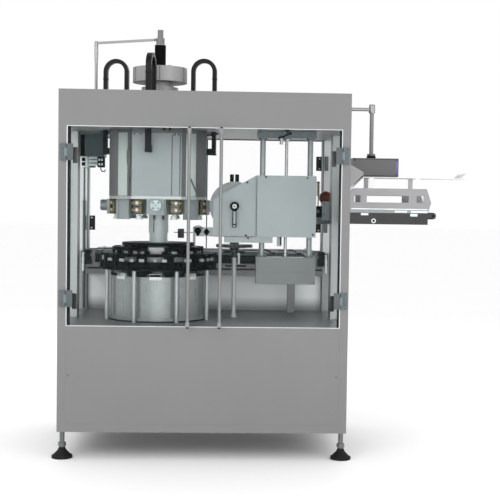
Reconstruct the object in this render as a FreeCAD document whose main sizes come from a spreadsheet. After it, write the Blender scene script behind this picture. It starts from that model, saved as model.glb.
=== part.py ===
import FreeCAD, Part
import Sketcher
import os
import re

# A rotary capping machine in a guarded cabinet, in millimetres.
# X runs along the conveyor to the right, Y from the front doors to the back and Z up from the floor.
# The origin lies on the floor, midway between the four feet.

doc = FreeCAD.newDocument("rotary_capping_machine")
sheet = doc.addObject("Spreadsheet::Sheet", "Sizes")

drivingSizes = [
    # cabinet
    ("cabinetWide", 1400, "width over the side skins"),
    ("cabinetDeep", 880, "depth over the front and back skins"),
    ("cabinetBase", 135, "underside of the frame above the floor"),
    ("postWide", 40, "side of the square frame tube"),
    ("sillLevel", 647, "deck surface and lower edge of the door opening"),
    ("headLevel", 1607, "upper edge of the door opening"),
    ("headerHigh", 173, "header above the door opening"),
    ("apronTop", 985, "upper edge of the rear apron"),
    ("skinThick", 3, "sheet metal of the covers"),
    ("deckThick", 8, "deck and ceiling plates"),
    ("midPostDeep", 100, "middle post of a side wall, front to back"),
    ("midPostFront", -20, "front face of the middle post"),
    ("windowThick", 5, "clear sheet of the side windows"),
    ("seamGap", 0.3, "gap between a panel and its neighbour"),
    # feet
    ("footSideInset", 20, "foot axis inside the cabinet's side face"),
    ("footEndInset", 50, "foot axis inside the cabinet's front and back faces"),
    ("padWide", 100, "diameter of a foot pad"),
    ("padRim", 12, "height of the rubber rim of a pad"),
    ("padHigh", 52, "height of a pad"),
    ("padNeck", 30, "diameter of the pad's top"),
    ("stemWide", 24, "diameter of a levelling stem"),
    ("nutWide", 34, "across flats of the lock nut"),
    ("nutHigh", 19, "height of the lock nut"),
    # doors
    ("doorGap", 4, "gap round each door"),
    ("paneThick", 6, "clear sheet of a door"),
    ("paneRecess", 4, "pane face behind the cabinet face"),
    ("handleWide", 16, "diameter of a door handle rod"),
    ("handleInset", 76, "handle axis from the middle of the opening"),
    ("handleStand", 46, "handle axis in front of the cabinet face"),
    ("standoffLong", 22, "height of the handle's end blocks"),
    ("hingeLeafWide", 26, "leaf beyond the hinge barrel"),
    ("hingeLeafHigh", 80, "height of a hinge"),
    ("hingeLeafThick", 5, "thickness of a hinge leaf"),
    ("barrelWide", 10, "outer diameter of a hinge barrel"),
    ("pinWide", 5, "diameter of a hinge pin"),
    ("pinPlay", 0.05, "radial running clearance of pins and shafts"),
    ("hingeAxisIn", 34, "hinge axis inside the cabinet's side face"),
    ("hingeAxisOut", 9, "hinge axis outside the cabinet's front or back face"),
    ("upperHingeMid", 1480, "middle of the upper front hinge"),
    ("lowerHingeMid", 780, "middle of the lower front hinge"),
    ("rearHingeHigh", 80, "height of a rear hinge"),
    ("rearUpperMid", 1478, "middle of the upper rear hinge"),
    ("rearLowerMid", 1130, "middle of the lower rear hinge"),
    # turret, from the deck upwards
    ("turretX", -242, "turret axis from the machine's middle"),
    ("shaftWide", 60, "diameter of the turret shaft"),
    ("shaftFoot", 540, "lower end of the turret shaft"),
    ("shoulderWide", 90, "diameter of the shaft's bearing shoulder"),
    ("shoulderHigh", 22, "height of the shaft's bearing shoulder"),
    ("seatGap", 0.3, "gap between a turning piece and its seat"),
    ("fitGap", 0.1, "radial gap between fitted pieces"),
    ("bearingWide", 190, "diameter of the main bearing housing"),
    ("bearingHigh", 45, "height of the main bearing housing"),
    ("drumWide", 490, "diameter of the base drum"),
    ("drumWall", 6, "wall of the base drum"),
    ("drumTop", 872, "top of the base drum"),
    ("ringHigh", 20, "height of the drum's foot ring"),
    ("ringGap", 4, "gap between the drum's foot ring and the support posts"),
    ("hatchAngle", 34, "angle that one hatch of the drum covers"),
    ("hatchThick", 4, "thickness of a hatch"),
    ("supportWide", 20, "diameter of a support post"),
    ("tableTop", 918, "upper face of the table ring"),
    ("tableThick", 13, "thickness of the table ring"),
    ("tableInner", 225, "inner radius of the table ring"),
    ("runGap", 2, "gap between parts that turn past each other"),
    ("starRadius", 303, "outer radius of the star plates"),
    ("starBore", 55, "inner radius of the star plates"),
    ("pocketCircle", 300, "radius of the circle of pocket centres"),
    ("pocketRadius", 17, "radius of a pocket"),
    ("lowerPlateThick", 26, "thickness of the lower star plate"),
    ("plateGap", 28, "height of the spacer blocks"),
    ("upperPlateThick", 14, "thickness of the upper star plate"),
    ("ringInner", 222, "inner radius of the upper star plate"),
    ("spacerCount", 12, "spacer blocks between the star plates"),
    ("spacerWide", 44, "width of a spacer block"),
    ("legCount", 16, "legs under the neck ring"),
    ("legWide", 26, "width of a leg"),
    ("legHigh", 13, "height of a leg"),
    ("neckRadius", 239, "outer radius of the neck ring"),
    ("neckInner", 165, "inner radius of the neck ring"),
    ("neckThick", 18, "thickness of the neck ring"),
    ("notchWide", 88, "width of the four notches in the neck ring"),
    ("tierRise", 7, "height of the bosses between the neck ring and the top tier"),
    ("tierRadius", 188, "outer radius of the top tier"),
    ("tierThick", 14, "thickness of the top tier"),
    ("hubRadius", 204, "radius of the light hub inside the star plates"),
    ("hubRise", 4, "top of the light hub above the upper star plate's underside"),
    ("shaftRoom", 10, "room round the shaft in drum and deck"),
    ("columnRadius", 51, "radius of the turret column"),
    ("waistRadius", 47, "radius of the column's waist"),
    ("waistHigh", 50, "height of the column's waist above the top tier"),
    ("headPlateLow", 1262, "underside of the head plate"),
    ("headPlateThick", 14, "thickness of the head plate"),
    ("blockHigh", 77, "height of a head block"),
    ("blockWide", 94, "width of a head block"),
    ("blockInner", 216, "inner face of a head block from the axis"),
    ("blockOuter", 264, "outer face of a head block from the axis"),
    ("knobRadius", 27, "radius of a round knob on a head block"),
    ("knobReach", 299, "outer face of a round knob from the axis"),
    ("skirtHigh", 102, "height of a skirt panel"),
    ("skirtWide", 96, "width of a skirt panel"),
    ("skirtOuter", 246, "outer face of a skirt panel from the axis"),
    ("skirtThick", 12, "thickness of a skirt panel"),
    ("headRadius", 226, "capping head from the turret axis"),
    ("headUnitWide", 62, "width of a capping head's guide block"),
    ("headUnitDeep", 34, "depth of a capping head's guide block"),
    ("chuckRadius", 19, "radius of a capping chuck"),
    ("sleeveRadius", 15, "radius of a capping head's sleeve"),
    ("spindleRadius", 8, "radius of a capping spindle"),
    ("drumCorner", 197, "corner edge of the upper drum, along X and along Y from the axis"),
    ("drumShellWall", 8, "wall of the upper drum"),
    ("drumShellTop", 1700, "top of the upper drum"),
    ("coverFace", 245, "outer face of a drum cover from the axis"),
    ("coverSeat", 212, "inner face of a drum cover from the axis"),
    ("coverWide", 246, "width of a drum cover"),
    ("coverTop", 1590, "top of the drum covers"),
    ("manifoldLow", 1864, "underside of the manifold disc"),
    ("manifoldTop", 1939, "top of the manifold disc"),
    ("manifoldRadius", 140, "radius of the manifold disc"),
    ("collarRadius", 72, "radius of the collar under the manifold disc"),
    ("flangeRadius", 95, "radius of the flange under the collar"),
    ("collarHigh", 25, "height of the collar"),
    ("flangeHigh", 21, "height of the flange"),
    ("neckTubeRadius", 60, "radius of the neck above the upper drum"),
    ("mastRadius", 28, "radius of the mast"),
    ("mastTop", 2060, "top of the mast"),
    ("roofOpening", 310, "radius of the openings in roof and ceiling"),
    ("pipeWide", 21, "thickness of an air pipe, which is rectangular"),
    ("pipeDeep", 28, "width of an air pipe"),
    ("pipeInner", 175, "inner leg of an air pipe from the axis"),
    ("pipeOuter", 286, "outer leg of an air pipe from the axis"),
    ("pipeBend", 1922, "level of the centre of the air pipe's top bend"),
    ("pipeFoot", 1494, "lower end of an air pipe"),
    ("pipeFootHigh", 33, "height of the foot that joins an air pipe to the drum"),
    ("pipeTurn", -8.3, "turn of the four air pipes about the axis"),
    # drive below the deck
    ("toothModule", 10, "module of the drive gears"),
    ("ringTeeth", 60, "teeth of the turret gear"),
    ("starTeeth", 20, "teeth of the cap star gear"),
    ("pinionTeeth", 15, "teeth of the drive pinion"),
    ("gearLow", 560, "underside of the gears"),
    ("gearThick", 26, "thickness of the gears"),
    ("backlash", 3, "tooth clearance at the pitch circle"),
    ("addendum", 7.5, "tooth height above the pitch circle"),
    ("dedendum", 10, "tooth depth below the pitch circle"),
    ("toothSlope", 25, "slope of a tooth flank"),
    ("pinionAngle", 217, "direction of the pinion from the turret axis"),
    ("motorWide", 120, "width of the gear motor"),
    ("motorLong", 260, "length of the gear motor"),
    ("motorShaftWide", 28, "diameter of the motor shaft"),
    # cap star
    ("capStarAngle", 7, "direction of the cap star from the turret axis"),
    ("capStarRadius", 96, "radius of the cap star"),
    ("capStarRise", 98, "underside of the upper cap star plate above the table ring"),
    ("capStarThick", 16, "thickness of the cap star plates"),
    ("capShaftRadius", 12, "radius of the cap star shaft"),
    ("capStarHub", 18, "height of the cap star's hub above its upper plate"),
    # conveyor
    ("chainTop", 960, "top of the conveyor chain"),
    ("chainThick", 5, "thickness of the conveyor chain"),
    ("rollerRadius", 16, "radius of the conveyor rollers"),
    ("conveyorFront", 308, "front face of the conveyor frame"),
    ("conveyorWide", 76, "width of the conveyor frame"),
    ("railThick", 8, "side rail of the conveyor"),
    ("railLow", 852, "underside of the conveyor rails"),
    ("railTop", 914, "top of the conveyor rails"),
    ("conveyorGap", 8, "gap between the end of the conveyor and the corner posts"),
    ("guidePostInset", 68, "outer guide post from the roller axis"),
    ("guidePostWide", 12, "width of a guide post"),
    ("conveyorLegInset", 148, "conveyor leg from the roller axis"),
    ("conveyorLegWide", 40, "width of a conveyor leg"),
    ("guideWide", 8, "diameter of a guide rail"),
    ("guideLow", 977, "lower guide rail"),
    ("guideHigh", 993, "upper guide rail"),
    ("blockHalf", 24, "half width of a roller's bearing block"),
    ("axleRadius", 6, "radius of the roller axles"),
    # small units
    ("standX", -60, "guide stand post"),
    ("standY", 262, "guide stand post, front to back"),
    ("standTop", 1118, "top of the guide stand"),
    ("standWide", 14, "diameter of the guide stand post"),
    ("valveInset", 25, "valve box inside the cabinet's left face"),
    ("valveWide", 130, "width of the valve box"),
    ("valveFront", 180, "front of the valve box"),
    ("valveDeep", 120, "depth of the valve box"),
    ("valveLow", 1488, "underside of the valve box"),
    ("connectorWide", 26, "width of a connector under the valve box"),
    ("connectorDeep", 40, "depth of a connector under the valve box"),
    ("ballInset", 55, "ball plunger inside the cabinet's right face"),
    ("ballY", 150, "ball plunger, front to back"),
    ("ballZ", 1284, "middle of the ball"),
    ("ballRadius", 36, "radius of the ball"),
    # feed unit
    ("unitFace", -250, "front face of the feed unit"),
    ("baseBoxLeft", 258, "left side of the base box"),
    ("baseBoxRight", 555, "right side of the base box"),
    ("baseBoxLow", 845, "underside of the base box"),
    ("baseBoxTop", 980, "top of the base box"),
    ("baseBoxDeep", 90, "depth of the base box"),
    ("columnY", -205, "axes of the guide columns and lift spindle"),
    ("columnLeft", 287, "left guide column"),
    ("columnRight", 526, "right guide column"),
    ("columnWide", 28, "diameter of a guide column"),
    ("spindleX", 406, "lift spindle"),
    ("spindleWide", 16, "diameter of the lift spindle"),
    ("bracketLow", 1575, "underside of the top bracket"),
    ("bracketDeep", 60, "depth of the top bracket"),
    ("crankLong", 60, "radius of the crank"),
    ("crankLow", 1560, "underside of the crank arm"),
    ("crankThick", 12, "thickness of the crank arm"),
    ("crankTurn", -120, "direction of the crank arm at rest"),
    ("carriageLow", 1081, "lower edge of the carriage plate"),
    ("carriageTop", 1388, "upper edge of the carriage plate"),
    ("carriageThick", 10, "thickness of the carriage plates"),
    ("trapLeft", 41, "left edge of the feed plate"),
    ("trapShoulder", 1262, "top of the feed plate's left edge"),
    ("bearingBlockWide", 52, "width of a carriage bearing block"),
    ("bearingBlockHigh", 70, "height of a carriage bearing block"),
    ("feedX", 147, "feed disc axis"),
    ("feedZ", 1232, "feed disc axis level"),
    ("feedRadius", 124, "radius of the feed housing"),
    ("feedDiscRadius", 112, "radius of the feed disc"),
    ("feedDiscThick", 14, "thickness of the feed disc"),
    ("housingDeep", 60, "depth of the feed housing"),
    ("housingWall", 4, "thickness of the wall that closes the feed housing in front"),
    ("feedShaftWide", 20, "diameter of the feed disc's shaft"),
    ("leverRadius", 23, "radius of the clamp lever's hub"),
    ("leverLong", 106, "length of the clamp lever"),
    ("leverWide", 20, "width of the clamp lever"),
    # outside magazine
    ("magazineFront", -180, "front face of the magazine"),
    ("magazineWide", 200, "width of the magazine"),
    ("magazineLow", 1151, "underside of the magazine channel"),
    ("magazineTop", 1209, "top of the magazine channel"),
    ("magazineLong", 432, "length of the magazine channel outside the cabinet"),
    ("magazineSkin", 4, "sheet metal of the magazine"),
    ("magazineRoller", 14, "radius of the magazine rollers"),
    ("magazineEar", 26, "outer roller beyond the end of the magazine channel"),
    ("magazineAxisZ", 1196, "level of the magazine rollers"),
    ("magazineBelt", 3, "thickness of the magazine belt"),
    ("guardGap", 35, "gap between the cabinet and the ladder guard"),
    ("guardLow", 1262, "level of the outermost point of the guard's end"),
    ("guardTop", 1333, "upper edge of the ladder guard"),
    ("trayLevel", 1389, "floor of the hopper tray"),
    ("traySlope", 100, "run of the hopper tray's sloping floor"),
    ("trayLong", 530, "length of the hopper tray's level floor"),
    ("trayLip", 26, "height of the hopper tray's lip"),
    ("trayFoot", 1293, "lower end of the sloping tray floor"),
    ("traySheet", 3, "sheet metal of the hopper tray"),
    # pendant control box
    ("pendantReach", 179, "pendant pole axis from the cabinet's right face"),
    ("pendantY", 100, "pendant pole axis, front to back"),
    ("pendantPole", 22, "diameter of the pendant pole"),
    ("pendantTop", 1756, "level of the pendant arm"),
    ("pendantBoxTop", 1495, "top of the control box"),
    ("pendantBoxHigh", 97, "height of the control box"),
    ("pendantBoxLeft", 108, "control box left of the pole"),
    ("pendantBoxRight", 136, "control box right of the pole"),
    ("pendantBoxDeep", 140, "depth of the control box"),
    # torque arm
    ("armEndX", -589, "torque pole axis"),
    ("armEndY", 160, "torque pole axis, front to back"),
    ("armLevel", 2088, "level of the torque arm"),
    ("unionTop", 2136, "top of the rotary union"),
    ("torquePole", 12, "diameter of the torque pole"),
]

# sizes that follow from the driving sizes, in the order in which they are worked out
derivedSizes = [
    ("cabinetTop", "headLevel + headerHigh", "top of the roof above the floor"),
    ("footAcross", "cabinetWide - 2 * footSideInset", "left foot to right foot"),
    ("footAlong", "cabinetDeep - 2 * footEndInset", "front foot to rear foot"),
    ("postCircle", "(drumWide / 2 + hatchThick + starRadius) / 2", "radius of the circle of support posts"),
    ("ringWide", "2 * postCircle - supportWide - 2 * ringGap", "diameter of the drum's foot ring"),
    ("lowerStar", "tableTop + runGap", "underside of the lower star plate"),
    ("spacerLow", "lowerStar + lowerPlateThick", "top of the lower star plate"),
    ("upperStar", "spacerLow + plateGap", "underside of the upper star plate"),
    ("upperStarTop", "upperStar + upperPlateThick", "top of the upper star plate"),
    ("hubTop", "upperStar + hubRise", "top of the light hub"),
    ("neckLow", "upperStarTop + legHigh", "underside of the neck ring"),
    ("tierLow", "neckLow + neckThick + tierRise", "underside of the top tier"),
    ("waistTop", "tierLow + tierThick + waistHigh", "top of the column's waist"),
    ("blockLow", "headPlateLow - blockHigh", "underside of a head block"),
    ("skirtLow", "headPlateLow - skirtHigh", "lower edge of the skirt panels"),
    ("capStarLow", "tableTop + capStarRise", "underside of the upper cap star plate"),
    ("capStarTop", "capStarLow + capStarThick + capStarHub", "top of the cap star's hub"),
    ("conveyorReach", "cabinetWide / 2 - postWide - conveyorGap", "end of the conveyor from the middle"),
    ("rollerAxisX", "conveyorReach - blockHalf", "roller axis from the middle"),
    ("valveLeft", "valveInset - cabinetWide / 2", "left side of the valve box"),
    ("ballX", "cabinetWide / 2 - ballInset", "ball plunger"),
    ("magazineReach", "cabinetWide / 2 + magazineLong", "outer end of the magazine channel"),
    ("magazineAxisX", "magazineReach + magazineEar", "outer roller of the magazine"),
    ("guardLeft", "cabinetWide / 2 + guardGap", "left end of the ladder guard"),
    ("guardLong", "magazineReach - guardLeft", "length of the ladder guard's lower edge"),
    ("trayLeft", "cabinetWide / 2 + traySlope", "left end of the hopper tray's level floor"),
    ("trayRight", "trayLeft + trayLong", "right end of the hopper tray"),
    ("pendantX", "cabinetWide / 2 + pendantReach", "pendant pole axis"),
]

for row, (name, value, meaning) in enumerate(drivingSizes + derivedSizes, start=1):
    sheet.set(f"A{row}", name)
    sheet.set(f"B{row}", "=" + value if isinstance(value, str) else str(value))
    sheet.set(f"C{row}", meaning)
    sheet.setAlias(f"B{row}", name)
doc.recompute()

sizeNames = {name for name, value, meaning in drivingSizes + derivedSizes}
nodes = {}


def linked(text):
    """An expression on the sheet, from a formula that uses the size names."""
    def link(match):
        word = match.group(0)
        return "Sizes." + word if word in sizeNames else word
    return re.sub(r"[A-Za-z_]\w*", link, str(text))


def number(text):
    return float(sheet.evalExpression(linked(text)))


def bind(target, **formulas):
    for field, text in formulas.items():
        target.setExpression(field, linked(text))
    return target


def place(target, at, turn=None):
    if turn is not None:
        target.Placement = FreeCAD.Placement(FreeCAD.Vector(), turn)
    for axis, text in zip("xyz", at):
        target.setExpression("Placement.Base." + axis, linked(text))
    return target


def keep(label, target):
    """Names a finished sub-part, which is written to its own file."""
    target.Label = label
    nodes[label] = target
    return target


upAxis = FreeCAD.Vector(0, 0, 1)
alongX = FreeCAD.Rotation(FreeCAD.Vector(0, 1, 0), 90)
alongY = FreeCAD.Rotation(FreeCAD.Vector(1, 0, 0), -90)


def box(x, y, z):
    """A block between two values along each axis."""
    block = doc.addObject("Part::Box", "block")
    bind(block, Length=f"({x[1]}) - ({x[0]})", Width=f"({y[1]}) - ({y[0]})", Height=f"({z[1]}) - ({z[0]})")
    return place(block, (x[0], y[0], z[0]))


def upright(x, y, z, radius):
    """A vertical cylinder between two levels."""
    piece = doc.addObject("Part::Cylinder", "upright")
    bind(piece, Radius=radius, Height=f"({z[1]}) - ({z[0]})")
    return place(piece, (x, y, z[0]))


def lying(direction, start, length, radius):
    """A cylinder along X or Y from a start point."""
    piece = doc.addObject("Part::Cylinder", "lying")
    bind(piece, Radius=radius, Height=length)
    return place(piece, start, direction)


def cut(base, *tools):
    for tool in tools:
        result = doc.addObject("Part::Cut", "cut")
        result.Base = base
        result.Tool = tool
        base = result
    return base


def fuse(*pieces):
    result = doc.addObject("Part::MultiFuse", "fuse")
    result.Shapes = list(pieces)
    result.Refine = True
    return result


def group(*pieces):
    """Separate solids that share one name, such as four equal feet."""
    result = doc.addObject("Part::Compound", "set")
    result.Links = list(pieces)
    return result


def tube(x, y, z, outer, inner):
    return cut(upright(x, y, z, outer), upright(x, y, z, inner))


def radialBox(angle, reach, width, z, centre=("turretX", "0")):
    """A block that points away from the turret axis, between two radii."""
    block = doc.addObject("Part::Box", "radial")
    bind(block, Length=f"({reach[1]}) - ({reach[0]})", Width=width, Height=f"({z[1]}) - ({z[0]})")
    x = f"{centre[0]} + ({reach[0]}) * cos({angle}) + ({width}) / 2 * sin({angle})"
    y = f"{centre[1]} + ({reach[0]}) * sin({angle}) - ({width}) / 2 * cos({angle})"
    place(block, (x, y, z[0]), FreeCAD.Rotation(upAxis, number(angle)))
    return bind(block, **{"Placement.Rotation.Angle": str(angle)})


def polar(angle, radius):
    """A point round the turret axis, as two formulas."""
    return f"turretX + ({radius}) * cos({angle})", f"({radius}) * sin({angle})"


def newBody(label):
    return keep(label, doc.addObject("PartDesign::Body", label))


def sketchOn(body, role, offset="0"):
    """An empty sketch on one of the body's own origin planes."""
    plane = next(item for item in body.Origin.OriginFeatures if item.Role == role)
    sketch = body.newObject("Sketcher::SketchObject", "sketch")
    sketch.AttachmentSupport = [(plane, "")]
    sketch.MapMode = "FlatFace"
    bind(sketch, **{"AttachmentOffset.Base.z": offset})
    return sketch


def constrain(sketch, kind, ends, text):
    index = sketch.addConstraint(Sketcher.Constraint(kind, *ends, number(text)))
    sketch.setExpression(f"Constraints[{index}]", linked(text))


def drawCircle(sketch, radius, centre=("0", "0")):
    middle = FreeCAD.Vector(number(centre[0]), number(centre[1]), 0)
    circle = sketch.addGeometry(Part.Circle(middle, FreeCAD.Vector(0, 0, 1), number(radius)), False)
    constrain(sketch, "Radius", (circle,), radius)
    constrain(sketch, "DistanceX", (-1, 1, circle, 3), centre[0])
    constrain(sketch, "DistanceY", (-1, 1, circle, 3), centre[1])


def drawOutline(sketch, points):
    """A closed outline of straight lines through points given as pairs of formulas."""
    corners = [FreeCAD.Vector(number(x), number(y), 0) for x, y in points]
    count = len(corners)
    first = sketch.GeometryCount
    for index in range(count):
        line = Part.LineSegment(corners[index], corners[(index + 1) % count])
        sketch.addGeometry(line, False)
    for index in range(count):
        following = first + (index + 1) % count
        sketch.addConstraint(Sketcher.Constraint("Coincident", first + index, 2, following, 1))
    for index, (x, y) in enumerate(points):
        constrain(sketch, "DistanceX", (-1, 1, first + index, 1), x)
        constrain(sketch, "DistanceY", (-1, 1, first + index, 1), y)


def pad(body, sketch, length):
    feature = body.newObject("PartDesign::Pad", "pad")
    feature.Profile = sketch
    bind(feature, Length=length)
    return feature


def revolve(body, sketch):
    """Turns a profile in the XZ plane about the body's own Z axis."""
    feature = body.newObject("PartDesign::Revolution", "revolution")
    feature.Profile = sketch
    feature.ReferenceAxis = (sketch, ["V_Axis"])
    feature.Angle = 360
    return feature


def turned(label, profile):
    """A turned piece: pairs of radius and level, closed along the outline."""
    body = newBody(label)
    sketch = sketchOn(body, "XZ_Plane")
    drawOutline(sketch, profile)
    revolve(body, sketch)
    return body


def repeatRound(body, feature, sketch, count):
    pattern = body.newObject("PartDesign::PolarPattern", "pattern")
    pattern.Originals = [feature]
    pattern.Axis = (sketch, ["N_Axis"])
    pattern.Angle = 360
    pattern.Occurrences = count
    body.Tip = pattern
    return pattern


def pocketThrough(body, sketch):
    feature = body.newObject("PartDesign::Pocket", "pocket")
    feature.Profile = sketch
    feature.Type = "ThroughAll"
    feature.Midplane = True
    return feature


right = "cabinetWide / 2"
left = "-cabinetWide / 2"
front = "-cabinetDeep / 2"
back = "cabinetDeep / 2"
innerRight = "(cabinetWide / 2 - postWide)"
innerLeft = "(postWide - cabinetWide / 2)"
innerFront = "(postWide - cabinetDeep / 2)"
innerBack = "(cabinetDeep / 2 - postWide)"
starDistance = "(toothModule * (ringTeeth + starTeeth) / 2)"
capStarX = f"(turretX + {starDistance} * cos(capStarAngle))"
capStarY = f"({starDistance} * sin(capStarAngle))"
pinionDistance = "(toothModule * (ringTeeth + pinionTeeth) / 2)"
pinionX = f"(turretX + {pinionDistance} * cos(pinionAngle))"
pinionY = f"({pinionDistance} * sin(pinionAngle))"
underDeck = "(sillLevel - deckThick)"
flangeLow = "(manifoldLow - collarHigh - flangeHigh)"
frontInMagazine = "(magazineFront + magazineSkin)"
backOfMagazine = "(magazineFront + magazineWide)"
chainAxis = "(chainTop - chainThick - rollerRadius)"
conveyorBack = "(conveyorFront + conveyorWide)"


def inset(text, sign):
    """The same face, one skin thickness further in."""
    return f"{text} {'-' if sign > 0 else '+'} skinThick"


# Welded frame: square tube posts, with rails at the base, sill, head and roof
def frame():
    members = []
    for sideX, nearX, farX in ((-1, left, innerLeft), (1, right, innerRight)):
        xs = (nearX, farX) if sideX < 0 else (farX, nearX)
        for sideY, nearY, farY in ((-1, front, innerFront), (1, back, innerBack)):
            ys = (nearY, farY) if sideY < 0 else (farY, nearY)
            members.append(box(xs, ys, ("cabinetBase", "headLevel")))
    levels = (
        ("cabinetBase", "cabinetBase + postWide"),
        ("sillLevel - postWide", "sillLevel"),
    )
    for z in levels:
        members.append(box((innerLeft, innerRight), (front, innerFront), z))
        members.append(box((innerLeft, innerRight), (innerBack, back), z))
        members.append(box((left, innerLeft), (innerFront, innerBack), z))
        members.append(box((innerRight, right), (innerFront, innerBack), z))
    members.append(box((innerLeft, innerRight), (innerBack, back), ("apronTop - postWide", "apronTop")))
    middle = ("midPostFront", "midPostFront + midPostDeep")
    for xs in ((left, innerLeft), (innerRight, right)):
        members.append(box(xs, middle, ("sillLevel", "headLevel")))
    insideX = (inset(left, -1), inset(right, 1))
    insideY = (inset(front, -1), inset(back, 1))
    headerLow = ("headLevel", "headLevel + postWide")
    headerTop = ("cabinetTop - skinThick - postWide", "cabinetTop - skinThick")
    for z in (headerLow, headerTop):
        members.append(box(insideX, (insideY[0], innerFront), z))
        members.append(box(insideX, (innerBack, insideY[1]), z))
        members.append(box((insideX[0], innerLeft), (innerFront, innerBack), z))
        members.append(box((innerRight, insideX[1]), (innerFront, innerBack), z))
    between = (headerLow[1], headerTop[0])
    for xs in ((insideX[0], innerLeft), (innerRight, insideX[1])):
        for ys in ((insideY[0], innerFront), (innerBack, insideY[1])):
            members.append(box(xs, ys, between))
    keep("frame", group(*members))


# Lower cabinet panels, rear apron, deck, ceiling, header covers and roof
def covers():
    lower = ("cabinetBase + postWide + seamGap", "sillLevel - postWide")
    apron = ("sillLevel + seamGap", "apronTop - postWide - seamGap")
    acrossX = (innerLeft + " + seamGap", innerRight + " - seamGap")
    acrossY = (innerFront + " + seamGap", innerBack + " - seamGap")
    frontSkin = (front, inset(front, -1))
    backSkin = (inset(back, 1), back)
    keep("lower_panels", group(
        box(acrossX, backSkin, apron),
        box(acrossX, frontSkin, lower),
        box(acrossX, backSkin, lower),
        box((left, inset(left, -1)), acrossY, lower),
        box((inset(right, 1), right), acrossY, lower),
    ))
    deck = box((innerLeft, innerRight), (innerFront, innerBack), ("sillLevel - deckThick", "sillLevel"))
    through = ("sillLevel - 2 * deckThick", "sillLevel + deckThick")
    holes = [
        upright("turretX", "0", through, "shoulderWide / 2 + shaftRoom"),
        upright(capStarX, capStarY, through, "capShaftRadius + shaftRoom"),
    ]
    keep("deck_plate", cut(deck, *holes))
    ceiling = box((innerLeft, innerRight), (innerFront, innerBack), ("headLevel", "headLevel + deckThick"))
    opening = upright("turretX", "0", ("headLevel - deckThick", "headLevel + 2 * deckThick"), "roofOpening")
    keep("ceiling_plate", cut(ceiling, opening))
    header = ("headLevel", "cabinetTop")
    keep("header_covers", group(
        box((left, right), frontSkin, header),
        box((left, right), backSkin, header),
        box((left, inset(left, -1)), (inset(front, -1), inset(back, 1)), header),
        box((inset(right, 1), right), (inset(front, -1), inset(back, 1)), header),
    ))
    roof = box((inset(left, -1), inset(right, 1)), (inset(front, -1), inset(back, 1)),
               ("cabinetTop - skinThick", "cabinetTop"))
    through = ("cabinetTop - 2 * skinThick", "cabinetTop + skinThick")
    roofHole = upright("turretX", "0", through, "roofOpening")
    keep("roof_plate", cut(roof, roofHole))


# Side windows of clear sheet, two on each side, between posts and rails
def sideWindows():
    panes = []
    z = ("sillLevel + seamGap", "headLevel - seamGap")
    frontPart = (innerFront + " + seamGap", "midPostFront - seamGap")
    rearPart = ("midPostFront + midPostDeep + seamGap", innerBack + " - seamGap")
    for xs in ((f"{left} + postWide / 4", f"{left} + postWide / 4 + windowThick"),
               (f"{right} - postWide / 4 - windowThick", f"{right} - postWide / 4")):
        for ys in (frontPart, rearPart):
            panes.append(box(xs, ys, z))
    passage = box((f"{right} - postWide", right), (frontInMagazine, "midPostFront - 4 * magazineSkin"),
                  ("magazineLow", "trayFoot + trayLip"))
    panes[2] = cut(panes[2], passage)
    keep("side_windows", group(*panes))


# Levelling feet: turned pads, and stems that end at the frame's underside, each with a lock nut
def feet():
    places = [(sx, sy) for sx in (-1, 1) for sy in (-1, 1)]
    master = turned("foot_pads", [
        ("0", "0"), ("padWide / 2", "0"), ("padWide / 2", "padRim"), ("padWide / 2 - 4", "padRim"),
        ("padNeck / 2 + 6", "padHigh - 14"), ("padNeck / 2", "padHigh"), ("0", "padHigh"),
    ])
    nodes.pop("foot_pads")
    master.Label = "foot_pad_master"
    pads = []
    stems = []
    for sx, sy in places:
        x = f"{sx} * footAcross / 2"
        y = f"{sy} * footAlong / 2"
        copy = doc.addObject("Part::Compound", "foot")
        copy.Links = [master]
        pads.append(place(copy, (x, y, "0")))
        stem = upright(x, y, ("padHigh", "cabinetBase"), "stemWide / 2")
        nut = doc.addObject("Part::Prism", "nut")
        nut.Polygon = 6
        bind(nut, Circumradius="nutWide / 2 / cos(30)", Height="nutHigh")
        place(nut, (x, y, "padHigh + 5"))
        stems.append(fuse(stem, nut))
    keep("foot_pads", group(*pads))
    keep("foot_stems", group(*stems))


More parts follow.
